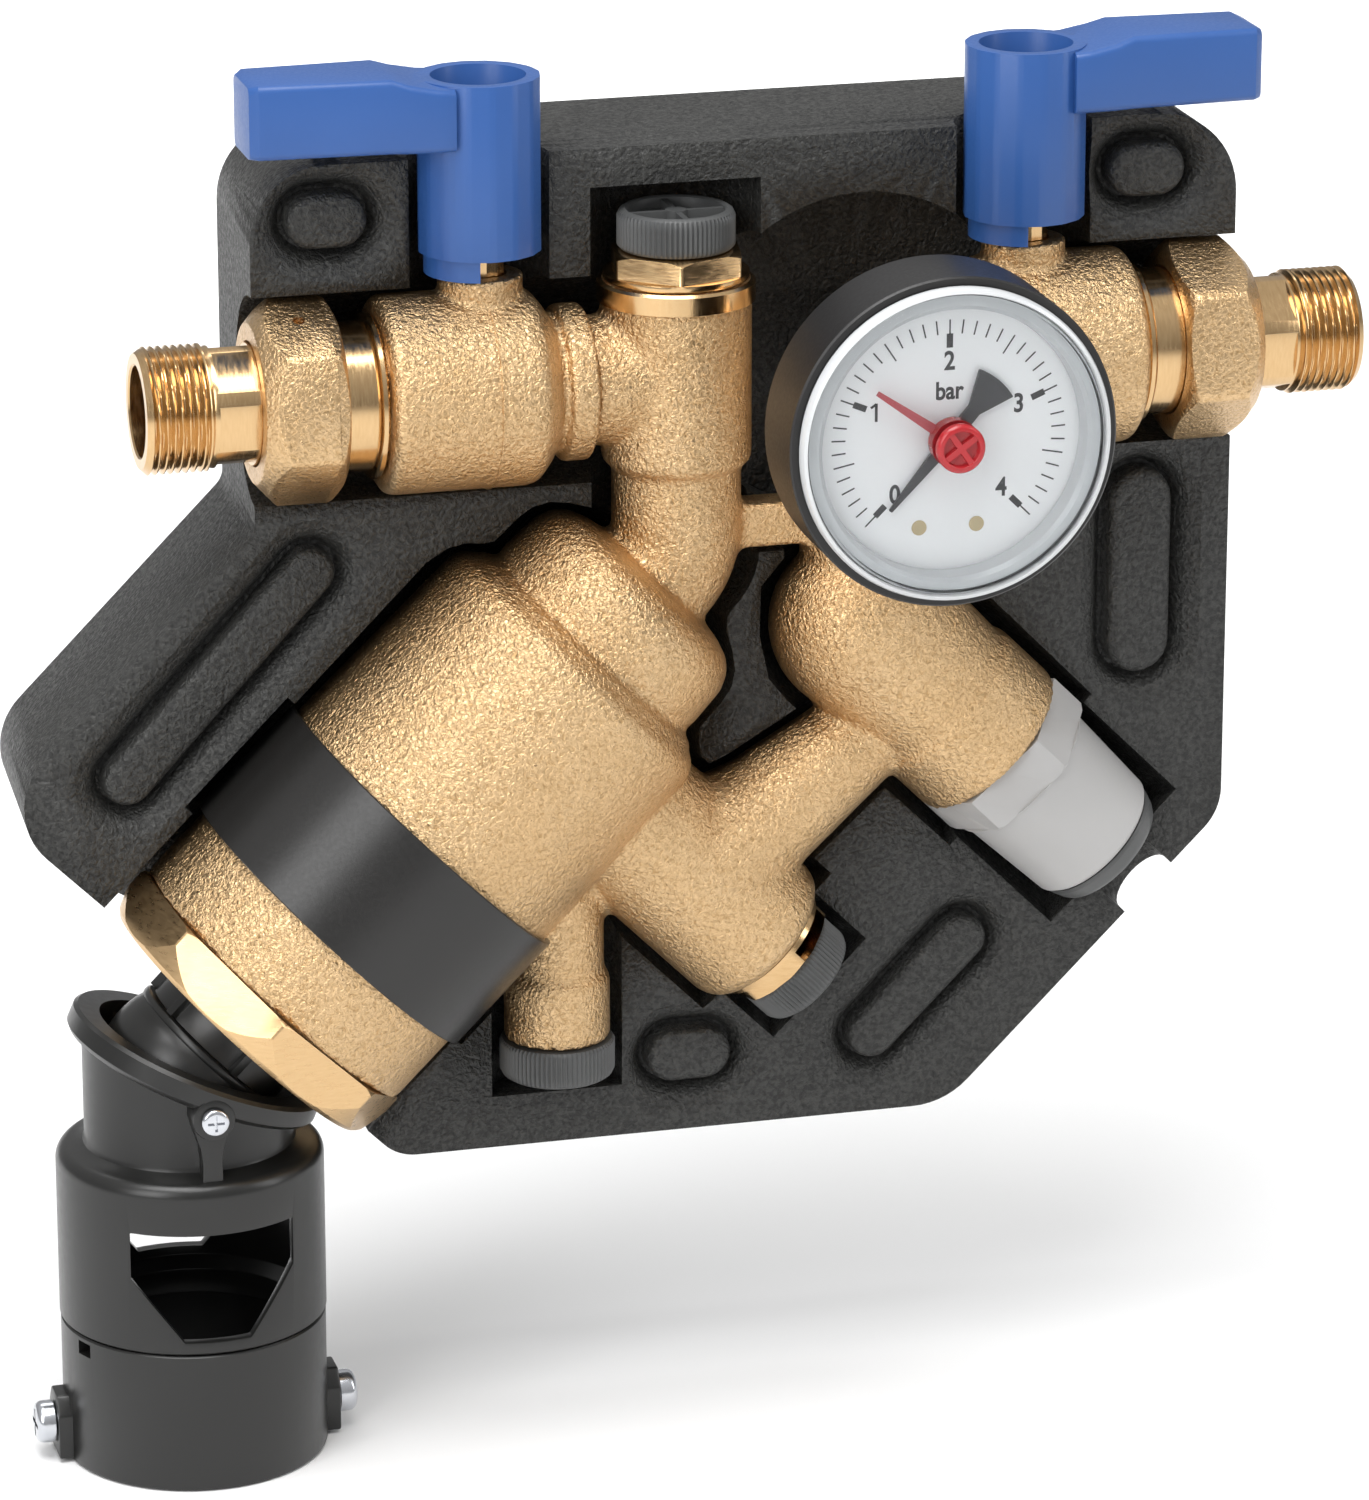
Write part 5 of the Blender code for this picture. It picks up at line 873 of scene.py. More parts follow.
def ribbed_cap(seat, axis, radius):
    low, high = FIT, CAP_LENGTH
    section = [(low, 0.0073), (low, radius - 0.0005)]
    section += stepped(low + 0.0005, high - 0.0012, radius, 0.0008)
    section += [(high - 0.0004, radius - 0.0004), (high, radius - 0.0010), (high, radius - 0.0014),
                (high - 0.0003, radius - 0.0017), (high - 0.0019, radius - 0.0019), (high - 0.0019, 0.0),
                (high - 0.0025, 0.0), (high - 0.0025, 0.0073)]
    bm = turned(section, seat, axis, 288)
    knurled(bm, seat, axis, low + 0.0004, high - 0.0011, radius, 72, 0.00035)
    across = side_of(axis)
    up = axis.cross(across)
    ribs = []
    for long_side, short_side in ((across, up), (up, across)):
        outline = [(-radius + 0.0018, -0.0005), (radius - 0.0018, -0.0005),
                   (radius - 0.0018, 0.0005), (-radius + 0.0018, 0.0005)]
        ribs.append(prism(outline, seat + axis * (high - 0.0021), long_side, short_side, axis, 0.0016))
    boss = rod(seat + axis * (high - 0.0021), seat + axis * (high - 0.0004), 0.0018, 32)
    return worked(bm, ribs + [boss])


def plug(origin, axis, shank, low, top, flats, blank, bore, turn):
    """A brass plug: a shank in its bore, a hexagon and the spigot that its cap sits on."""
    flange = FIT + 0.0010
    section = [(low, bore), (low, shank), (FIT, shank), (FIT, blank + 0.0003), (flange, blank + 0.0003),
               (flange, blank), (top - 0.0006, blank), (top, blank - 0.0010),
               (top, 0.0070), (top + 0.0040, 0.0070), (top + 0.0040, bore)]
    across = side_of(axis)
    hexagon = nut_bar(origin, axis, FIT * 0.5, 0.03, 6, flats, turn)
    zone = worked(hexagon, [rod(origin + axis * (low - 0.001), origin + axis * flange, blank + 0.0006, 96)])
    return worked(turned(section, origin, axis, 96), (), (), [zone], 0.00022, 2)


strainer_seat = at(TEE_X, TEE_TOP)
test_seat = TEST + DOWN_RIGHT * TEST_END
hex_turn = math.radians(20.0)
hand_over(plug(strainer_seat, Z_AXIS, 0.0080, -0.0100, FIT + PLUG_HEX, 0.0206, 0.0118, 0.0050, hex_turn),
          "strainer_hex_plug", plug_brass, "unit", ["strainer_plug"])
hand_over(plug(test_seat, DOWN_RIGHT, 0.0092, -0.0090, FIT + 0.0042, 0.0190, 0.0107, 0.0040, hex_turn),
          "test_hex_plug", plug_brass, "unit", ["test_plug"])
land = [(-0.0034, 0.0123), (-0.0034, 0.01315), (-0.0004, 0.01315), (0.00005, 0.0127), (0.00005, 0.0123)]
hand_over(turned(land, strainer_seat, Z_AXIS, 128), "tee_turned_land", lathe_brass, "unit")
for cap_name, seat, axis, radius in (
    ("strainer_cap", strainer_seat + Z_AXIS * (FIT + PLUG_HEX), Z_AXIS, 0.0098),
    ("test_cap", test_seat + DOWN_RIGHT * (FIT + 0.0042), DOWN_RIGHT, 0.0095),
    ("drain_cap", at(DRAIN_X, DRAIN_END_Z), -Z_AXIS, 0.0098),
):
    hand_over(ribbed_cap(seat, axis, radius), cap_name + "_ribbed", cap_grey, cap_name, [cap_name])

# %% [markdown]
# ## The discharge end
# A black sleeve wraps the chamber, a large nut with eight flats closes it, and a black cup
# with six fins leads a discharge into the tundish. The cup ends in a ball, so the tundish
# can tilt on it to hang plumb.

# %% Sleeve, large nut and cup
BAND_START = 0.0620
BAND_END = BAND_START + 0.0229


def sleeve():
    inner = CHAMBER_R + FIT
    bm = turned([(BAND_START, inner), (BAND_START, inner + 0.0008), (BAND_START + 0.0002, inner + 0.0010),
                 (BAND_END - 0.0002, inner + 0.0010), (BAND_END, inner + 0.0008), (BAND_END, inner)],
                CHAMBER, DOWN_LEFT, 144)
    return worked(bm, (), [rod(at(DRAIN_X, -0.0700), at(DRAIN_X, -0.1200), 0.0092, 48)])


def large_nut():
    low = CHAMBER_END + FIT
    high = low + 0.0084
    lip = SPIGOT_END + 0.0022 + 2.0 * FIT
    section = [(low, 0.0258), (low, 0.0286), (low + 0.0006, 0.0292), (high - 0.0050, 0.0292),
               (high - 0.0008, 0.0274), (high, 0.0266), (high, 0.0200), (lip, 0.0200), (lip, 0.0258)]
    bar = nut_bar(CHAMBER, DOWN_LEFT, low - 0.001, high + 0.001, 8, 0.0541, math.radians(10.0))
    return worked(turned(section, CHAMBER, DOWN_LEFT, 160), (), (), [bar], 0.0003, 2)


def cup():
    low = SPIGOT_END + FIT
    pivot_s = 0.1195
    turns = [math.radians(109.1 - 41.7 * i / 8) for i in range(9)]
    ball_points = [(pivot_s + 0.0156 * math.cos(a), 0.0156 * math.sin(a)) for a in turns]
    section = [(low, 0.0110), (low, 0.0252), (low + 0.0022, 0.0252), (low + 0.0022, 0.0135),
               (0.1128, 0.0135), (0.1129, 0.0146), (0.1132, 0.0149), (0.1139, 0.0150), (0.1143, 0.0149)]
    section += ball_points + [(0.1255, 0.0110)]
    fins = []
    across = side_of(DOWN_LEFT)
    up = DOWN_LEFT.cross(across)
    for index in range(6):
        angle = math.tau * (index + 0.5) / 6.0
        outward = across * math.cos(angle) + up * math.sin(angle)
        root = CHAMBER + DOWN_LEFT * (low + 0.0014) + outward * 0.0123
        outline = [(-0.0009, 0.0), (0.0009, 0.0), (0.0007, 0.0027), (-0.0007, 0.0027)]
        fins.append(prism(outline, root, DOWN_LEFT.cross(outward), outward, DOWN_LEFT, 0.0088))
    pins = [rod(PIVOT + Y_AXIS * sign * 0.0125, PIVOT + Y_AXIS * sign * 0.0200, 0.0014, 24) for sign in (-1.0, 1.0)]
    return worked(turned(section, CHAMBER, DOWN_LEFT, 96), fins, pins, (), 0.0002, 2)


hand_over(sleeve(), "black_sleeve", sleeve_film, "unit", ["label_band"])
hand_over(large_nut(), "eight_sided_nut", milled_brass, "discharge_nut", ["discharge_nut"], 16.0)
hand_over(cup(), "ball_cup", black_pp, "unit", ["discharge_cup"])

# %% [markdown]
# ## The tundish
# The tundish is a vertical black cup with a slanted collar at its mouth and two open
# windows, which keep an air gap between the water system and the drain. A second collar
# below it clamps to the drain pipe with two screws.

# %% Tundish and drain collar
TUNDISH_R = 0.0225
TUNDISH_NECK_R = 0.0176
PIPE_R = 0.0201
RIM_TILT = math.radians(24.0)
COLLAR_R = 0.02235
LUG_R = 0.0243
WALL = 0.0020


def tundish():
    axis_point = Vector((PIVOT.x, PIPE_Y, 0.0))
    top = PIVOT.z + 0.0180
    shoulder = PIVOT.z - 0.0141
    inner_neck = TUNDISH_NECK_R - 0.0015
    section = [(SEAM - 0.0055, PIPE_R - 0.0018), (SEAM - 0.0055, PIPE_R - FIT), (SEAM, PIPE_R - FIT),
               (SEAM, TUNDISH_R - 0.0003), (SEAM + 0.0003, TUNDISH_R)]
    section += arc(shoulder, TUNDISH_R - 0.0026, 0.0026, 90.0, 6.0, 8)
    section += [(shoulder + 0.0030, TUNDISH_NECK_R + 0.0011), (shoulder + 0.0034, TUNDISH_NECK_R + 0.0003),
                (shoulder + 0.0042, TUNDISH_NECK_R), (top, TUNDISH_NECK_R), (top, inner_neck),
                (shoulder + 0.0010, inner_neck), (shoulder - 0.0010, TUNDISH_R - WALL),
                (SEAM + 0.0006, TUNDISH_R - WALL), (SEAM - 0.0012, PIPE_R - 0.0018)]
    body = turned(section, axis_point, Z_AXIS, 128)
    normal = Vector((math.sin(RIM_TILT), 0.0, math.cos(RIM_TILT)))
    along = Vector((math.cos(RIM_TILT), 0.0, -math.sin(RIM_TILT)))
    reach = 0.05
    square = [(-reach, -reach), (reach, -reach), (reach, reach), (-reach, reach)]
    above = prism(square, PIVOT + normal * 0.0026, along, Y_AXIS, normal, reach)
    outline = [(-0.0137, -0.0203), (-0.0137, -0.0285), (-0.0056, -0.0393), (0.0056, -0.0393),
               (0.0137, -0.0285), (0.0137, -0.0203)]
    windows = prism(outline, PIVOT - Y_AXIS * 0.04, X_AXIS, Z_AXIS, Y_AXIS, 0.08)
    body = worked(body, (), [above, windows], (), 0.00025, 2, 50.0)
    rim = [(0.0002, inner_neck + 0.0010), (0.0002, 0.0205), (0.0006, 0.0216), (0.0014, 0.0223), (0.0042, 0.0223),
           (0.0048, 0.0217), (0.0048, inner_neck + 0.0018)]
    parts = [turned(rim, PIVOT, normal, 128)]
    for sign in (-1.0, 1.0):
        low = 0.0164
        parts.append(rod(PIVOT + Y_AXIS * sign * low, PIVOT + Y_AXIS * sign * 0.0225, 0.0036, 48, 0.0005))
        rib = [(-0.0034, 0.0006), (0.0034, 0.0006), (0.0033, -0.0016), (0.0020, -0.0058), (0.0017, -0.0085),
               (0.0018, -0.0121), (0.0024, -0.0128), (-0.0024, -0.0128), (-0.0018, -0.0121), (-0.0017, -0.0085),
               (-0.0020, -0.0058), (-0.0033, -0.0016)]
        parts.append(prism(rib, PIVOT + Y_AXIS * sign * low, X_AXIS, Z_AXIS, Y_AXIS * sign, 0.0204 - low, 0.0004))
    pins = [rod(PIVOT + Y_AXIS * sign * 0.0120, PIVOT + Y_AXIS * sign * 0.0300, 0.0014, 24) for sign in (-1.0, 1.0)]
    return worked(body, parts, pins)


def drain_collar():
    axis_point = Vector((PIVOT.x, PIPE_Y, 0.0))
    high = SEAM - FIT
    section = [(COLLAR_BOTTOM, PIPE_R), (COLLAR_BOTTOM, COLLAR_R - 0.0008), (COLLAR_BOTTOM + 0.0003, COLLAR_R - 0.0002),
               (COLLAR_BOTTOM + 0.0008, COLLAR_R), (high - 0.0003, COLLAR_R), (high, COLLAR_R - 0.0003), (high, PIPE_R)]
    lugs = []
    holes = []
    for sign in (-1.0, 1.0):
        half = 0.0045
        outline = [(-half, 0.0), (half, 0.0), (half, 0.0078), (half - 0.0020, 0.0108), (-half + 0.0020, 0.0108),
                   (-half, 0.0078)]
        foot = Vector((PIVOT.x + sign * (COLLAR_R - 0.0012), PIPE_Y, COLLAR_BOTTOM + 0.0007))
        lugs.append(prism(outline, foot, Y_AXIS, Z_AXIS, X_AXIS * sign, LUG_R - COLLAR_R + 0.0012, 0.0004))
        level = Vector((PIVOT.x + sign * 0.018, PIPE_Y, COLLAR_BOTTOM + 0.0007 + 0.0054))
        holes.append(rod(level, level + X_AXIS * sign * 0.012, 0.0019, 32))
    outward = Vector((-math.cos(math.radians(24.0)), -math.sin(math.radians(24.0)), 0.0))
    notch = Vector((PIVOT.x, PIPE_Y, SEAM - 0.0024)) + outward * 0.0190
    slit = [(-0.0017, -0.0012), (0.0017, -0.0012), (0.0017, 0.0012), (-0.0017, 0.0012)]
    holes.append(prism(slit, notch, outward.cross(Z_AXIS), Z_AXIS, outward, 0.0060))
    return worked(turned(section, axis_point, Z_AXIS, 128), lugs, holes)


hand_over(tundish(), "black_tundish", black_pp, "tundish", ["tundish_body"])
hand_over(drain_collar(), "black_drain_collar", black_pp, "tundish", ["drain_collar"])
for screw_name, sign in (("left", -1.0), ("right", 1.0)):
    seat = Vector((PIVOT.x + sign * (LUG_R + FIT), PIPE_Y, COLLAR_BOTTOM + 0.0061))
    hand_over(pan_screw(seat, X_AXIS * sign, 0.0016, 0.0036, 0.0030, LUG_R - PIPE_R, 0.0024, 0.0012),
              "clamp_%s_screw" % screw_name, zinc, "clamp_" + screw_name, ["clamp_screw_" + screw_name])
for screw_name, sign in (("front", -1.0), ("back", 1.0)):
    seat = PIVOT + Y_AXIS * sign * (0.0225 + FIT)
    hand_over(pan_screw(seat, Y_AXIS * sign, 0.0011, 0.0023, 0.0013, 0.0098, 0.0014, 0.0006),
              "pivot_%s_screw" % screw_name, zinc, "unit", ["pivot_screw_" + screw_name])

# %% [markdown]
# ## The reducing valve
# A light grey bonnet closes the reducing valve. Inside it a spring pushes on the piston,
# and the grey screw in its end sets how hard.

# %% Bonnet and adjuster
BONNET_END = 0.0591


def bonnet():
    low = REDUCER_END + FIT
    base = low + 0.0075
    section = [(low, 0.0110), (low, 0.0156), (base - 0.0008, 0.0156), (base, 0.0149), (base, 0.0135),
               (BONNET_END - 0.0008, 0.0125), (BONNET_END, 0.0118), (BONNET_END, 0.0038),
               (BONNET_END - 0.0024, 0.0038), (BONNET_END - 0.0024, 0.0104), (base, 0.0110)]
    hexagon = nut_bar(REDUCER, DOWN_RIGHT, low - 0.001, base + 0.0001, 6, 0.0268, math.radians(8.0))
    zone = worked(hexagon, [rod(REDUCER + DOWN_RIGHT * (base - 0.0001), REDUCER + DOWN_RIGHT * 0.08, 0.0140)])
    return worked(turned(section, REDUCER, DOWN_RIGHT, 128), (), (), [zone], 0.0003, 2)


def adjuster():
    head = BONNET_END + FIT
    section = [(0.0450, 0.0), (0.0450, 0.0100), (0.0472, 0.0100), (0.0472, 0.0035), (head, 0.0035), (head, 0.0117),
               (head + 0.0006, 0.0119), (head + 0.0024, 0.0113), (head + 0.0032, 0.0108), (head + 0.0034, 0.0104),
               (head + 0.0034, 0.0)]
    socket = nut_bar(REDUCER, DOWN_RIGHT, head + 0.0006, head + 0.02, 6, 0.0080)
    return worked(turned(section, REDUCER, DOWN_RIGHT, 96), (), [socket])


hand_over(bonnet(), "grey_bonnet", bonnet_grey, "unit", ["reducer_bonnet"])
hand_over(adjuster(), "grey_adjuster", cap_grey, "adjuster", ["reducer_adjuster"])

# %% [markdown]
# ## The gauge
# A black case holds a white dial under a clear lens whose flange overlaps the case. The
# scale runs from 0 to 4 over three quarters of a turn. A black needle with a broad
# counterweight shows the pressure, and a red pointer in the lens is set by hand.

# %% Gauge case, stem and lens
GAUGE_R = 0.0272
DIAL_Y = 0.0478
NEEDLE_Y = 0.0490
POINTER_Y = 0.0504
LENS_FRONT = 0.0545
CASE_INNER = GAUGE_R - 0.0014
CASE_BACK = 0.0360
CASE_FRONT = 0.0520


def gauge_case():
    section = [(CASE_BACK, 0.0048), (CASE_BACK, GAUGE_R - 0.0016), (CASE_BACK + 0.0004, GAUGE_R - 0.0006),
               (CASE_BACK + 0.0012, GAUGE_R), (CASE_FRONT - 0.0003, GAUGE_R), (CASE_FRONT, GAUGE_R - 0.0003),
               (CASE_FRONT, CASE_INNER), (CASE_BACK + 0.0017, CASE_INNER), (CASE_BACK + 0.0017, 0.0048)]
    return turned(section, GAUGE, FRONT, 192)


def gauge_stem():
    section = [(0.0080, 0.0), (0.0080, 0.0037), (0.0171, 0.0037), (0.0171, 0.0080), (0.0300, 0.0080), (0.0310, 0.0045),
               (0.0380, 0.0045), (0.0380, 0.0090), (0.0430, 0.0090), (0.0430, 0.0)]
    zone = worked(nut_bar(GAUGE, FRONT, 0.0158, 0.0320, 6, 0.0140), [
        rod(GAUGE + FRONT * 0.0310, GAUGE + FRONT * 0.0500, 0.0100),
        rod(GAUGE, GAUGE + FRONT * 0.01695, 0.0060),
    ])
    return worked(turned(section, GAUGE, FRONT, 72), (), (), [zone], 0.0002, 2)


def lens():
    neck = 0.0024
    section = [(NEEDLE_Y, CASE_INNER - 0.0016), (NEEDLE_Y, CASE_INNER - FIT), (0.0521, CASE_INNER - FIT),
               (0.0521, 0.0246), (LENS_FRONT - 0.0006, 0.0246), (LENS_FRONT, 0.0242),
               (LENS_FRONT, neck + FIT), (LENS_FRONT - 0.0015, neck + FIT), (LENS_FRONT - 0.0015, CASE_INNER - 0.0016)]
    return turned(section, GAUGE, FRONT, 192)


def lens_bezel():
    """The frosted inner edge of the lens, which frames the dial."""
    low = DIAL_Y + 0.0010
    section = [(low, 0.0218), (low, 0.0241), (LENS_FRONT - 0.0016, 0.0241), (LENS_FRONT - 0.0016, 0.0228),
               (LENS_FRONT - 0.0022, 0.0221)]
    return turned(section, GAUGE, FRONT, 192)


def lens_flange():
    """The outer flange of the lens, which grips the rim of the case."""
    back = 0.0523
    section = [(back, 0.0248), (back, 0.0258), (LENS_FRONT - 0.0012, 0.0258), (LENS_FRONT - 0.0004, 0.0255),
               (LENS_FRONT - 0.0001, 0.0250), (LENS_FRONT - 0.0004, 0.0248)]
    return turned(section, GAUGE, FRONT, 192)


hand_over(gauge_case(), "black_gauge_case", case_black, "unit", ["gauge_case"])
hand_over(gauge_stem(), "gauge_hex_stem", plug_brass, "unit", ["gauge_stem"])
hand_over(lens(), "clear_gauge_lens", lens_clear, "unit", ["gauge_lens"])
hand_over(lens_bezel(), "frosted_lens_ring", lens_frosted, "unit")
hand_over(lens_flange(), "frosted_lens_flange", lens_frosted, "unit")

# %% [markdown]
# The dial is a thin disc. Its marks are thin inked shapes that stand 0.04 mm proud of the
# enamel, so they are real faces and stay sharp from close by. Dial angles are counted in
# bar: 67.5 degrees each, with 2 at the top.

# %% Dial, its marks and numbers
def dial_place(bar, radius, lift=0.0):
    angle = math.radians(90.0 - (bar - 2.0) * 67.5)
    return GAUGE + FRONT * (DIAL_Y + 0.0008 + lift) + Vector((math.cos(angle), 0.0, math.sin(angle))) * radius


def stroke(whole, low, high, width):
    """Adds one straight mark to the print."""
    along = (high - low).normalized()
    length = (high - low).length
    half = width / 2.0
    mark = prism([(-half, 0.0), (half, 0.0), (half, length), (-half, length)], low, along.cross(FRONT), along, FRONT,
                 0.00004)
    mesh = bpy.data.meshes.new("mark")
    mark.to_mesh(mesh)
    mark.free()
    whole.from_mesh(mesh)
    bpy.data.meshes.remove(mesh)


def dial_bar(whole, bar, inner, outer, width):
    stroke(whole, dial_place(bar, inner), dial_place(bar, outer), width)


def lettering(whole, words, centre, height):
    """Adds a word to the print, upright and centred."""
    curve = bpy.data.curves.new("letters", "FONT")
    curve.body = words
    curve.size = height
    curve.align_x = "CENTER"
    curve.align_y = "CENTER"
    curve.extrude = 0.00002
    curve.offset = 0.00010
    curve.resolution_u = 6
    letters = bpy.data.objects.new("letters", curve)
    bpy.context.scene.collection.objects.link(letters)
    depsgraph = bpy.context.evaluated_depsgraph_get()
    mesh = bpy.data.meshes.new_from_object(letters.evaluated_get(depsgraph))
    mesh.transform(Matrix.Translation(centre) @ Matrix.Rotation(math.radians(90.0), 4, "X") @ Matrix.Diagonal((0.86, 1.0, 1.0, 1.0)))
    whole.from_mesh(mesh)
    bpy.data.objects.remove(letters, do_unlink=True)
    bpy.data.meshes.remove(mesh)


def dial_print():
    whole = bmesh.new()
    for tenth in range(41):
        bar = tenth / 10.0
        if tenth % 10 == 0:
            dial_bar(whole, bar, 0.0172, 0.0195, 0.00024)
            dial_bar(whole, bar, 0.0149, 0.0172, 0.00105)
        else:
            dial_bar(whole, bar, 0.0160 if tenth % 5 == 0 else 0.0172, 0.0195, 0.00024)
    for number in (0, 2, 3, 4):
        lettering(whole, str(number), dial_place(number, 0.0126, 0.00002), 0.0043)
    one = dial_place(1.0, 0.0131)
    stroke(whole, one - Z_AXIS * 0.0015, one + Z_AXIS * 0.0015, 0.00046)
    stroke(whole, one + Vector((-0.0009, 0.0, 0.0008)), one + Vector((0.0, 0.0, 0.00142)), 0.00040)
    lettering(whole, "bar", dial_place(2.0, 0.0077, 0.00002), 0.0041)
    return whole


hand_over(ring(GAUGE, FRONT, DIAL_Y, DIAL_Y + 0.0008, 0.0012, CASE_INNER - FIT, 128), "white_dial", dial_white, "unit",
          ["gauge_dial"])
hand_over(dial_print(), "dial_scale_print", dial_ink, "unit")
for pin_name, x in (("left", -0.0048), ("right", 0.0048)):
    spot = GAUGE + FRONT * (DIAL_Y + 0.0008) + Vector((x, 0.0, -0.0146))
    hand_over(rod(spot, spot + FRONT * 0.00012, 0.00125, 32), "dial_%s_pin" % pin_name, dial_brass, "unit")

# %% [markdown]
# The needle lies flat over the dial and stands at zero. The set pointer is a flat red arm
# under the lens, held by a clear red knob with a cross of four wings for a coin.

# %% Needle and set pointer
def needle():
    angle = math.radians(229.0)
    tip = Vector((math.cos(angle), 0.0, math.sin(angle)))
    edge = Vector((-tip.z, 0.0, tip.x))
    fan = [(-0.0122 * math.cos(a), 0.0122 * math.sin(a)) for a in [math.radians(-18.0 + 4.5 * i) for i in range(9)]]
    outline = [(0.0, 0.0013), (0.0150, 0.0003), (0.0150, -0.0003), (0.0, -0.0013), (-0.0060, -0.0012)]
    outline += fan + [(-0.0060, 0.0012)]
    hand = prism(outline, GAUGE + FRONT * NEEDLE_Y, tip, edge, FRONT, 0.0006)
    arbour = rod(GAUGE + FRONT * 0.0433, GAUGE + FRONT * (NEEDLE_Y + 0.0003), 0.0008, 24)
    return worked(hand, [arbour], (), (), 0.0001, 1)


def set_arm():
    angle = math.radians(145.0)
    tip = Vector((math.cos(angle), 0.0, math.sin(angle)))
    edge = Vector((-tip.z, 0.0, tip.x))
    outline = [(0.0010, 0.0009), (0.0153, 0.0004), (0.0153, -0.0004), (0.0010, -0.0009)]
    return prism(outline, GAUGE + FRONT * (POINTER_Y + 0.0002), tip, edge, FRONT, 0.0007)


def set_knob():
    section = [(POINTER_Y, 0.0), (POINTER_Y, 0.0040), (LENS_FRONT - 0.0018, 0.0040), (LENS_FRONT - 0.0018, 0.0024),
               (LENS_FRONT + 0.0003, 0.0024), (LENS_FRONT + 0.0003, 0.0040), (LENS_FRONT + 0.0014, 0.0040),
               (LENS_FRONT + 0.0018, 0.0036), (LENS_FRONT + 0.0018, 0.0030), (LENS_FRONT + 0.0008, 0.0028),
               (LENS_FRONT + 0.0008, 0.0)]
    wings = []
    for turn in (math.radians(35.0), math.radians(125.0)):
        across = Vector((math.cos(turn), 0.0, math.sin(turn)))
        up = Vector((-math.sin(turn), 0.0, math.cos(turn)))
        outline = [(-0.0031, -0.0005), (0.0031, -0.0005), (0.0031, 0.0005), (-0.0031, 0.0005)]
        wings.append(prism(outline, GAUGE + FRONT * (LENS_FRONT + 0.0006), across, up, FRONT, 0.0010))
    return worked(turned(section, GAUGE, FRONT, 72), wings, (), (), 0.0001, 1)


hand_over(needle(), "black_needle", needle_black, "needle", ["gauge_needle"])
hand_over(set_arm(), "red_set_arm", pointer_red, "set_pointer")
hand_over(set_knob(), "red_set_knob", red_clear, "set_pointer", ["gauge_set_pointer"])

# %% [markdown]
# ## The foam shell
# The shell is the moulding that the unit lies in. Its outline has one long chamfer and a
# wing for the preventer. Pockets follow each part of the unit with a few millimetres of
# air, and six shallow dishes in its face each leave an island standing.

# %% Outline and pockets of the shell
SHELL_LEFT = -0.0845
SHELL_RIGHT = 0.0837
SHELL_TOP = 0.0389
SHELL_BOTTOM = -0.1336
ISLANDS = (
    (-0.0716, 0.0294, 0.0135, 0.0092, 0.0),
    (0.0681, 0.0293, 0.0135, 0.0092, 0.0),
    (-0.0908, -0.0465, 0.0540, 0.0082, 47.0),
    (0.0683, -0.0405, 0.0360, 0.0110, 90.0),
    (0.0297, -0.1120, 0.0310, 0.0085, 45.0),
    (-0.0108, -0.1205, 0.0147, 0.0092, 0.0),
)


def shell_blank():
    wing_line = CHAMBER.x - CHAMBER.z - 0.0563 * math.sqrt(2.0)
    mouth = CHAMBER.x + CHAMBER.z - 0.1073 * math.sqrt(2.0)
    wing_x = (mouth + wing_line) / 2.0
    outline = rounded([
        (SHELL_LEFT, SHELL_TOP, 0.0130), (SHELL_RIGHT, SHELL_TOP, 0.0140), (SHELL_RIGHT, SHELL_RIGHT - 0.1682, 0.0100),
        (0.1682 + SHELL_BOTTOM, SHELL_BOTTOM, 0.0140), (mouth - SHELL_BOTTOM, SHELL_BOTTOM, 0.0080),
        (wing_x, mouth - wing_x, 0.0120), (SHELL_LEFT, SHELL_LEFT - wing_line, 0.0040),
    ])
    taper = 1.0 - 0.0016 / (SHELL_RIGHT - SHELL_LEFT)
    back = [at(SHELL_RIGHT + (x - SHELL_RIGHT) * taper, z, PIPE_Y) for x, z in outline]
    return loft([[at(x, z) for x, z in outline], back])


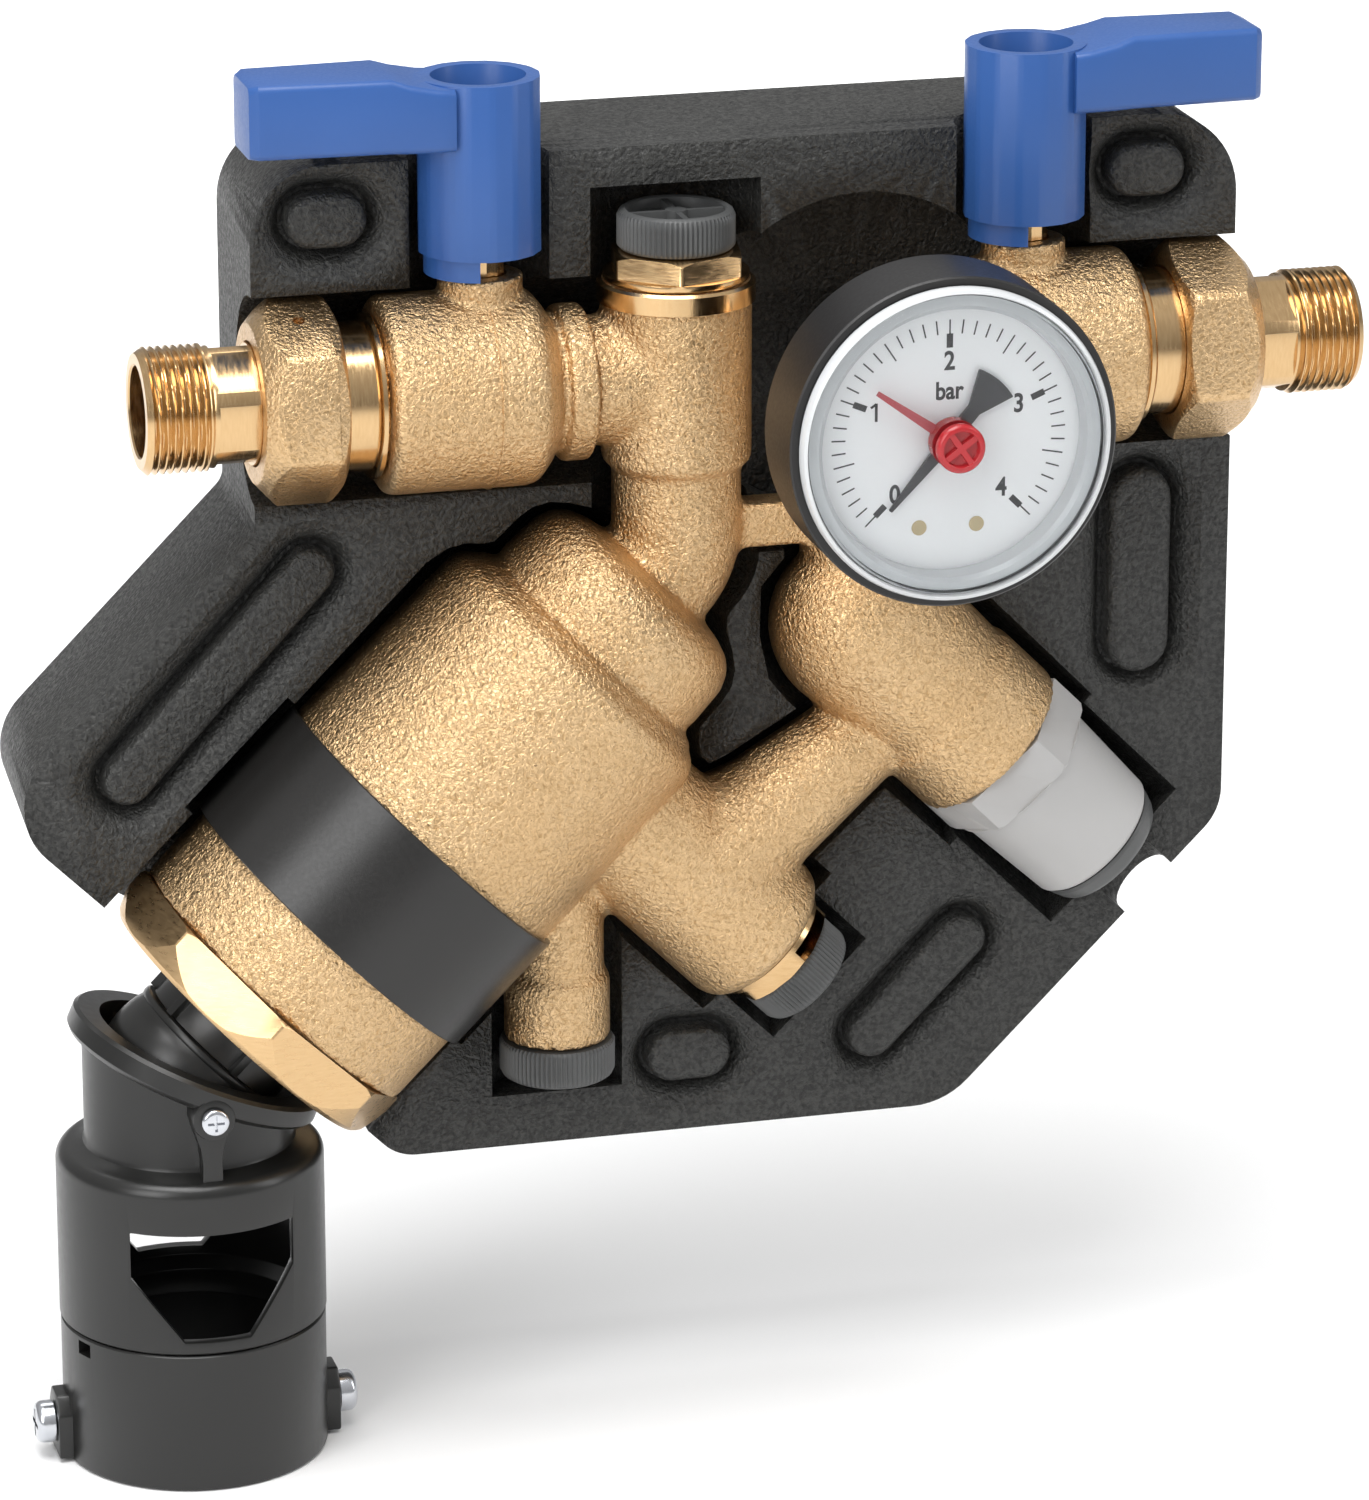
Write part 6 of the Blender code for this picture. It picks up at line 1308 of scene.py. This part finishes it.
def shell_pockets():
    yield rod(at(-0.12, 0.0), at(0.12, 0.0), 0.0176, 72)
    for side in (-1.0, 1.0):
        yield rod(at(side * VALVE_X, 0.0050), at(side * VALVE_X, 0.06), 0.01175, 56)
    tee = [(0.0, 0.0), (0.0, 0.0145), (0.0630, 0.0145)] + arc(0.0630, 0.0, 0.0145, 80.0, 10.0, 7) + [(0.0775, 0.0)]
    yield turned(tee, at(TEE_X, 0.0324), -Z_AXIS, 72)
    yield block(at(TEE_X + 0.0054, -0.0318, 0.01), at(RISER_X - 0.00515, -0.0207, -0.0053))
    chamber = [(-0.0048, 0.0), (-0.0048, 0.0100), (-0.0036, 0.0125), (0.0, 0.0143), (0.0022, 0.0148), (0.0040, 0.0163), (0.0058, 0.0196),
               (0.0080, 0.0225), (0.0105, 0.0241), (0.0135, 0.0247), (0.0190, 0.0249), (0.0206, 0.0262),
               (0.0224, 0.0284), (0.0250, 0.0301), (0.0290, 0.0311), (0.0610, 0.0311), (0.0610, 0.0328), (0.0859, 0.0328),
               (0.0859, 0.0311), (0.1300, 0.0311), (0.1300, 0.0)]
    yield turned(chamber, CHAMBER, DOWN_LEFT, 112)
    yield rod(at(DRAIN_X, -0.06), at(DRAIN_X, -0.1245), 0.0114, 56)
    test = [(0.0, 0.0), (0.0, 0.0159), (0.0612, 0.0159), (0.0612, 0.0116), (0.0743, 0.0116), (0.0743, 0.0)]
    yield turned(test, TEST, DOWN_RIGHT, 64)
    yield loft([circle(centre, -DOWN_LEFT, radius + 0.0022) for centre, radius in bridge_points(8)])
    reducer = [(-0.0181, 0.0), (-0.0175, 0.0070), (-0.0116, 0.0132), (-0.0050, 0.0175), (0.0, 0.0181), (0.0407, 0.0177),
               (0.0407, 0.0157), (0.0647, 0.0157), (0.0647, 0.0)]
    yield turned(reducer, REDUCER, DOWN_RIGHT, 80)
    yield rod(at(RISER_X, -0.04), at(RISER_X, 0.0), 0.0133, 56)
    yield rod(GAUGE + FRONT * 0.01, GAUGE - FRONT * 0.0150, 0.0288, 112)
    round_end = [(0.0058 * math.cos(a), 0.0032 + 0.0058 * math.sin(a)) for a in [math.pi * i / 16 for i in range(17)]]
    key = [(-0.0058, -0.01), (0.0058, -0.01)] + round_end
    yield prism(key, REDUCER + DOWN_RIGHT * 0.0627, DOWN_RIGHT.cross(Y_AXIS), Y_AXIS, DOWN_RIGHT, 0.03)


def stadium(x, z, length, width, slant, margin, level):
    """A long round-ended loop on the face of the shell."""
    angle = math.radians(slant)
    across = Vector((math.cos(angle), 0.0, math.sin(angle)))
    up = Vector((-math.sin(angle), 0.0, math.cos(angle)))
    radius = width / 2.0 + margin
    half = (length - width) / 2.0
    points = []
    for end, base in ((1.0, -90.0), (-1.0, 90.0)):
        for step in range(13):
            turn = math.radians(base + 15.0 * step)
            points.append((end * half + radius * math.cos(turn), radius * math.sin(turn)))
    return [at(x, z, level) + across * a + up * b for a, b in points]


def moat(island):
    """The cutter for one dish, with the island left out of it."""
    slope = ((0.0056, 0.0004), (0.0050, -0.0001), (0.0040, -0.0005), (0.0031, -0.0011), (0.0023, -0.0020),
             (0.0016, -0.0031), (0.0010, -0.0043), (0.0007, -0.0050))
    pad = ((0.0, -0.0060), (0.0, -0.0013), (-0.0003, -0.0006), (-0.0008, -0.0002), (-0.0016, 0.0), (-0.0017, 0.0014))
    dish = loft([stadium(*island, margin, level) for margin, level in slope])
    return worked(dish, (), [loft([stadium(*island, margin, level) for margin, level in pad])])


def welded(bm):
    """Merges the points of a turned form that meet on its axis, so that it cuts cleanly."""
    bmesh.ops.remove_doubles(bm, verts=bm.verts, dist=2e-6)
    return bm


def foam_shell():
    pockets = [welded(pocket) for pocket in shell_pockets()]
    moats = [welded(moat(island)) for island in ISLANDS]
    return worked(welded(shell_blank()), (), pockets + moats, (), 0.0004, 2, 40.0, "MANIFOLD")


hand_over(foam_shell(), "foam_back_shell", foam, "unit", ["rear_shell"], 60.0)

# %% [markdown]
# ## Parts inside
# Seats, seals, springs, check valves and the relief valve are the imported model's own
# meshes. They can be seen only through the bores or with the unit taken apart, and each
# one gets the finish of what it is made of.

# %% Finishes of the parts inside
INSIDE = {
    white_seal: ("inlet_seat_outer", "inlet_seat_inner", "outlet_seat_outer", "outlet_seat_inner",
                 "upstream_check_housing", "downstream_check_housing", "relief_guide"),
    rubber: ("inlet_gasket", "outlet_gasket", "relief_diaphragm"),
    lathe_brass: ("inlet_stem", "outlet_stem", "reducer_piston"),
    plug_brass: ("upstream_check_poppet", "downstream_check_poppet", "relief_plunger"),
    spring_steel: ("strainer", "relief_spring", "reducer_spring"),
}
for finish, names in INSIDE.items():
    for name in names:
        for material_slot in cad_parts[name].material_slots:
            material_slot.material = finish
print(sum(len(names) for names in INSIDE.values()), "inside parts have their finish")

# %% [markdown]
# ## Floor, light and camera
# A pale floor at the lowest point of the unit runs far beyond the picture, so it is the
# background too. One large soft lamp hangs above, a second stands to the front left, and
# the sky is darker towards the front, which gives the metal something to show.

# %% Floor
low_corner, high_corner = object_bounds()
floor_bm = bmesh.new()
bmesh.ops.create_grid(floor_bm, x_segments=1, y_segments=1, size=6.0)
floor_mesh = bpy.data.meshes.new("studio_floor")
floor_bm.to_mesh(floor_mesh)
floor_bm.free()
floor = bpy.data.objects.new("studio_floor", floor_mesh)
floor.location.z = low_corner[2]
bpy.context.scene.collection.objects.link(floor)
floor_paint, floor_tree, floor_shader, floor_coords = start("matt_white_floor", {"Roughness": 0.9, "Specular IOR Level": 0.1})
floor_cloud = add(floor_tree, "ShaderNodeTexNoise", {"Scale": per(400.0)}, {"Vector": floor_coords})
floor_tone = add(floor_tree, "ShaderNodeMix", {"data_type": "RGBA", 6: linear("#F4F4F4"), 7: linear("#F8F8F8")},
                 {0: floor_cloud.outputs["Fac"]})
floor_tree.links.new(floor_tone.outputs["Result"], floor_shader.inputs["Base Color"])
floor_mesh.materials.append(floor_paint)
print("floor at", round(low_corner[2], 4))

# %% Sky
world = bpy.data.worlds.new("studio")
bpy.context.scene.world = world
world.use_nodes = True
sky = world.node_tree
sky_light = sky.nodes["Background"]
facing = add(sky, "ShaderNodeNewGeometry")
split = add(sky, "ShaderNodeSeparateXYZ", {}, {"Vector": facing.outputs["Incoming"]})
height = add(sky, "ShaderNodeMapRange", {"From Min": 0.35, "From Max": -0.75, "To Min": 0.0, "To Max": 1.0},
             {"Value": split.outputs["Z"]})
sky_tone = add(sky, "ShaderNodeMix", {"data_type": "RGBA", 6: linear("#8E8E90"), 7: linear("#FFFFFF")},
               {0: height.outputs["Result"]})
sky.links.new(sky_tone.outputs["Result"], sky_light.inputs["Color"])
sky_light.inputs["Strength"].default_value = 0.62


# %% Lamps
def lamp(name, place, target, size, watts, spread=180.0):
    light = bpy.data.lights.new(name, "AREA")
    light.shape = "RECTANGLE"
    light.size = size[0]
    light.size_y = size[1]
    light.energy = watts
    light.spread = math.radians(spread)
    holder = bpy.data.objects.new(name, light)
    holder.location = place
    holder.rotation_euler = (Vector(target) - Vector(place)).to_track_quat("-Z", "Y").to_euler()
    bpy.context.scene.collection.objects.link(holder)


lamp("top_softbox", (-0.25, -0.35, 1.10), (0.0, -0.03, 0.0), (0.9, 0.7), 13.0)
lamp("left_softbox", (-1.00, -0.90, 0.55), (0.0, -0.03, -0.03), (0.7, 0.9), 8.5)
lamp("right_strip", (1.05, -0.60, 0.50), (0.0, -0.03, -0.02), (0.3, 0.9), 3.5)
lamp("floor_softbox", (0.40, 1.90, 1.60), (0.40, 1.60, low_corner[2]), (2.4, 1.6), 20.0, 70.0)

# %% Camera at the angle of the photograph
camera_data = bpy.data.cameras.new("photo_camera")
camera_data.lens = 168.0395
camera_data.sensor_fit = "VERTICAL"
camera_data.sensor_width = 36.0
camera_data.sensor_height = 36.0
camera_data.clip_start = 0.01
camera = bpy.data.objects.new("photo_camera", camera_data)
right = Vector((0.96583959, -0.25914068, 0.0))
up = Vector((0.08113559, 0.30239931, 0.94972189))
back = Vector((-0.24611157, -0.91727900, 0.31309476))
turned_to = Matrix((right, up, back)).transposed().to_4x4()
camera.matrix_world = Matrix.Translation((-0.301283, -1.113735, 0.302737)) @ turned_to
bpy.context.scene.collection.objects.link(camera)
bpy.context.scene.camera = camera
bpy.context.scene.view_settings.view_transform = "Standard"
print("camera set")
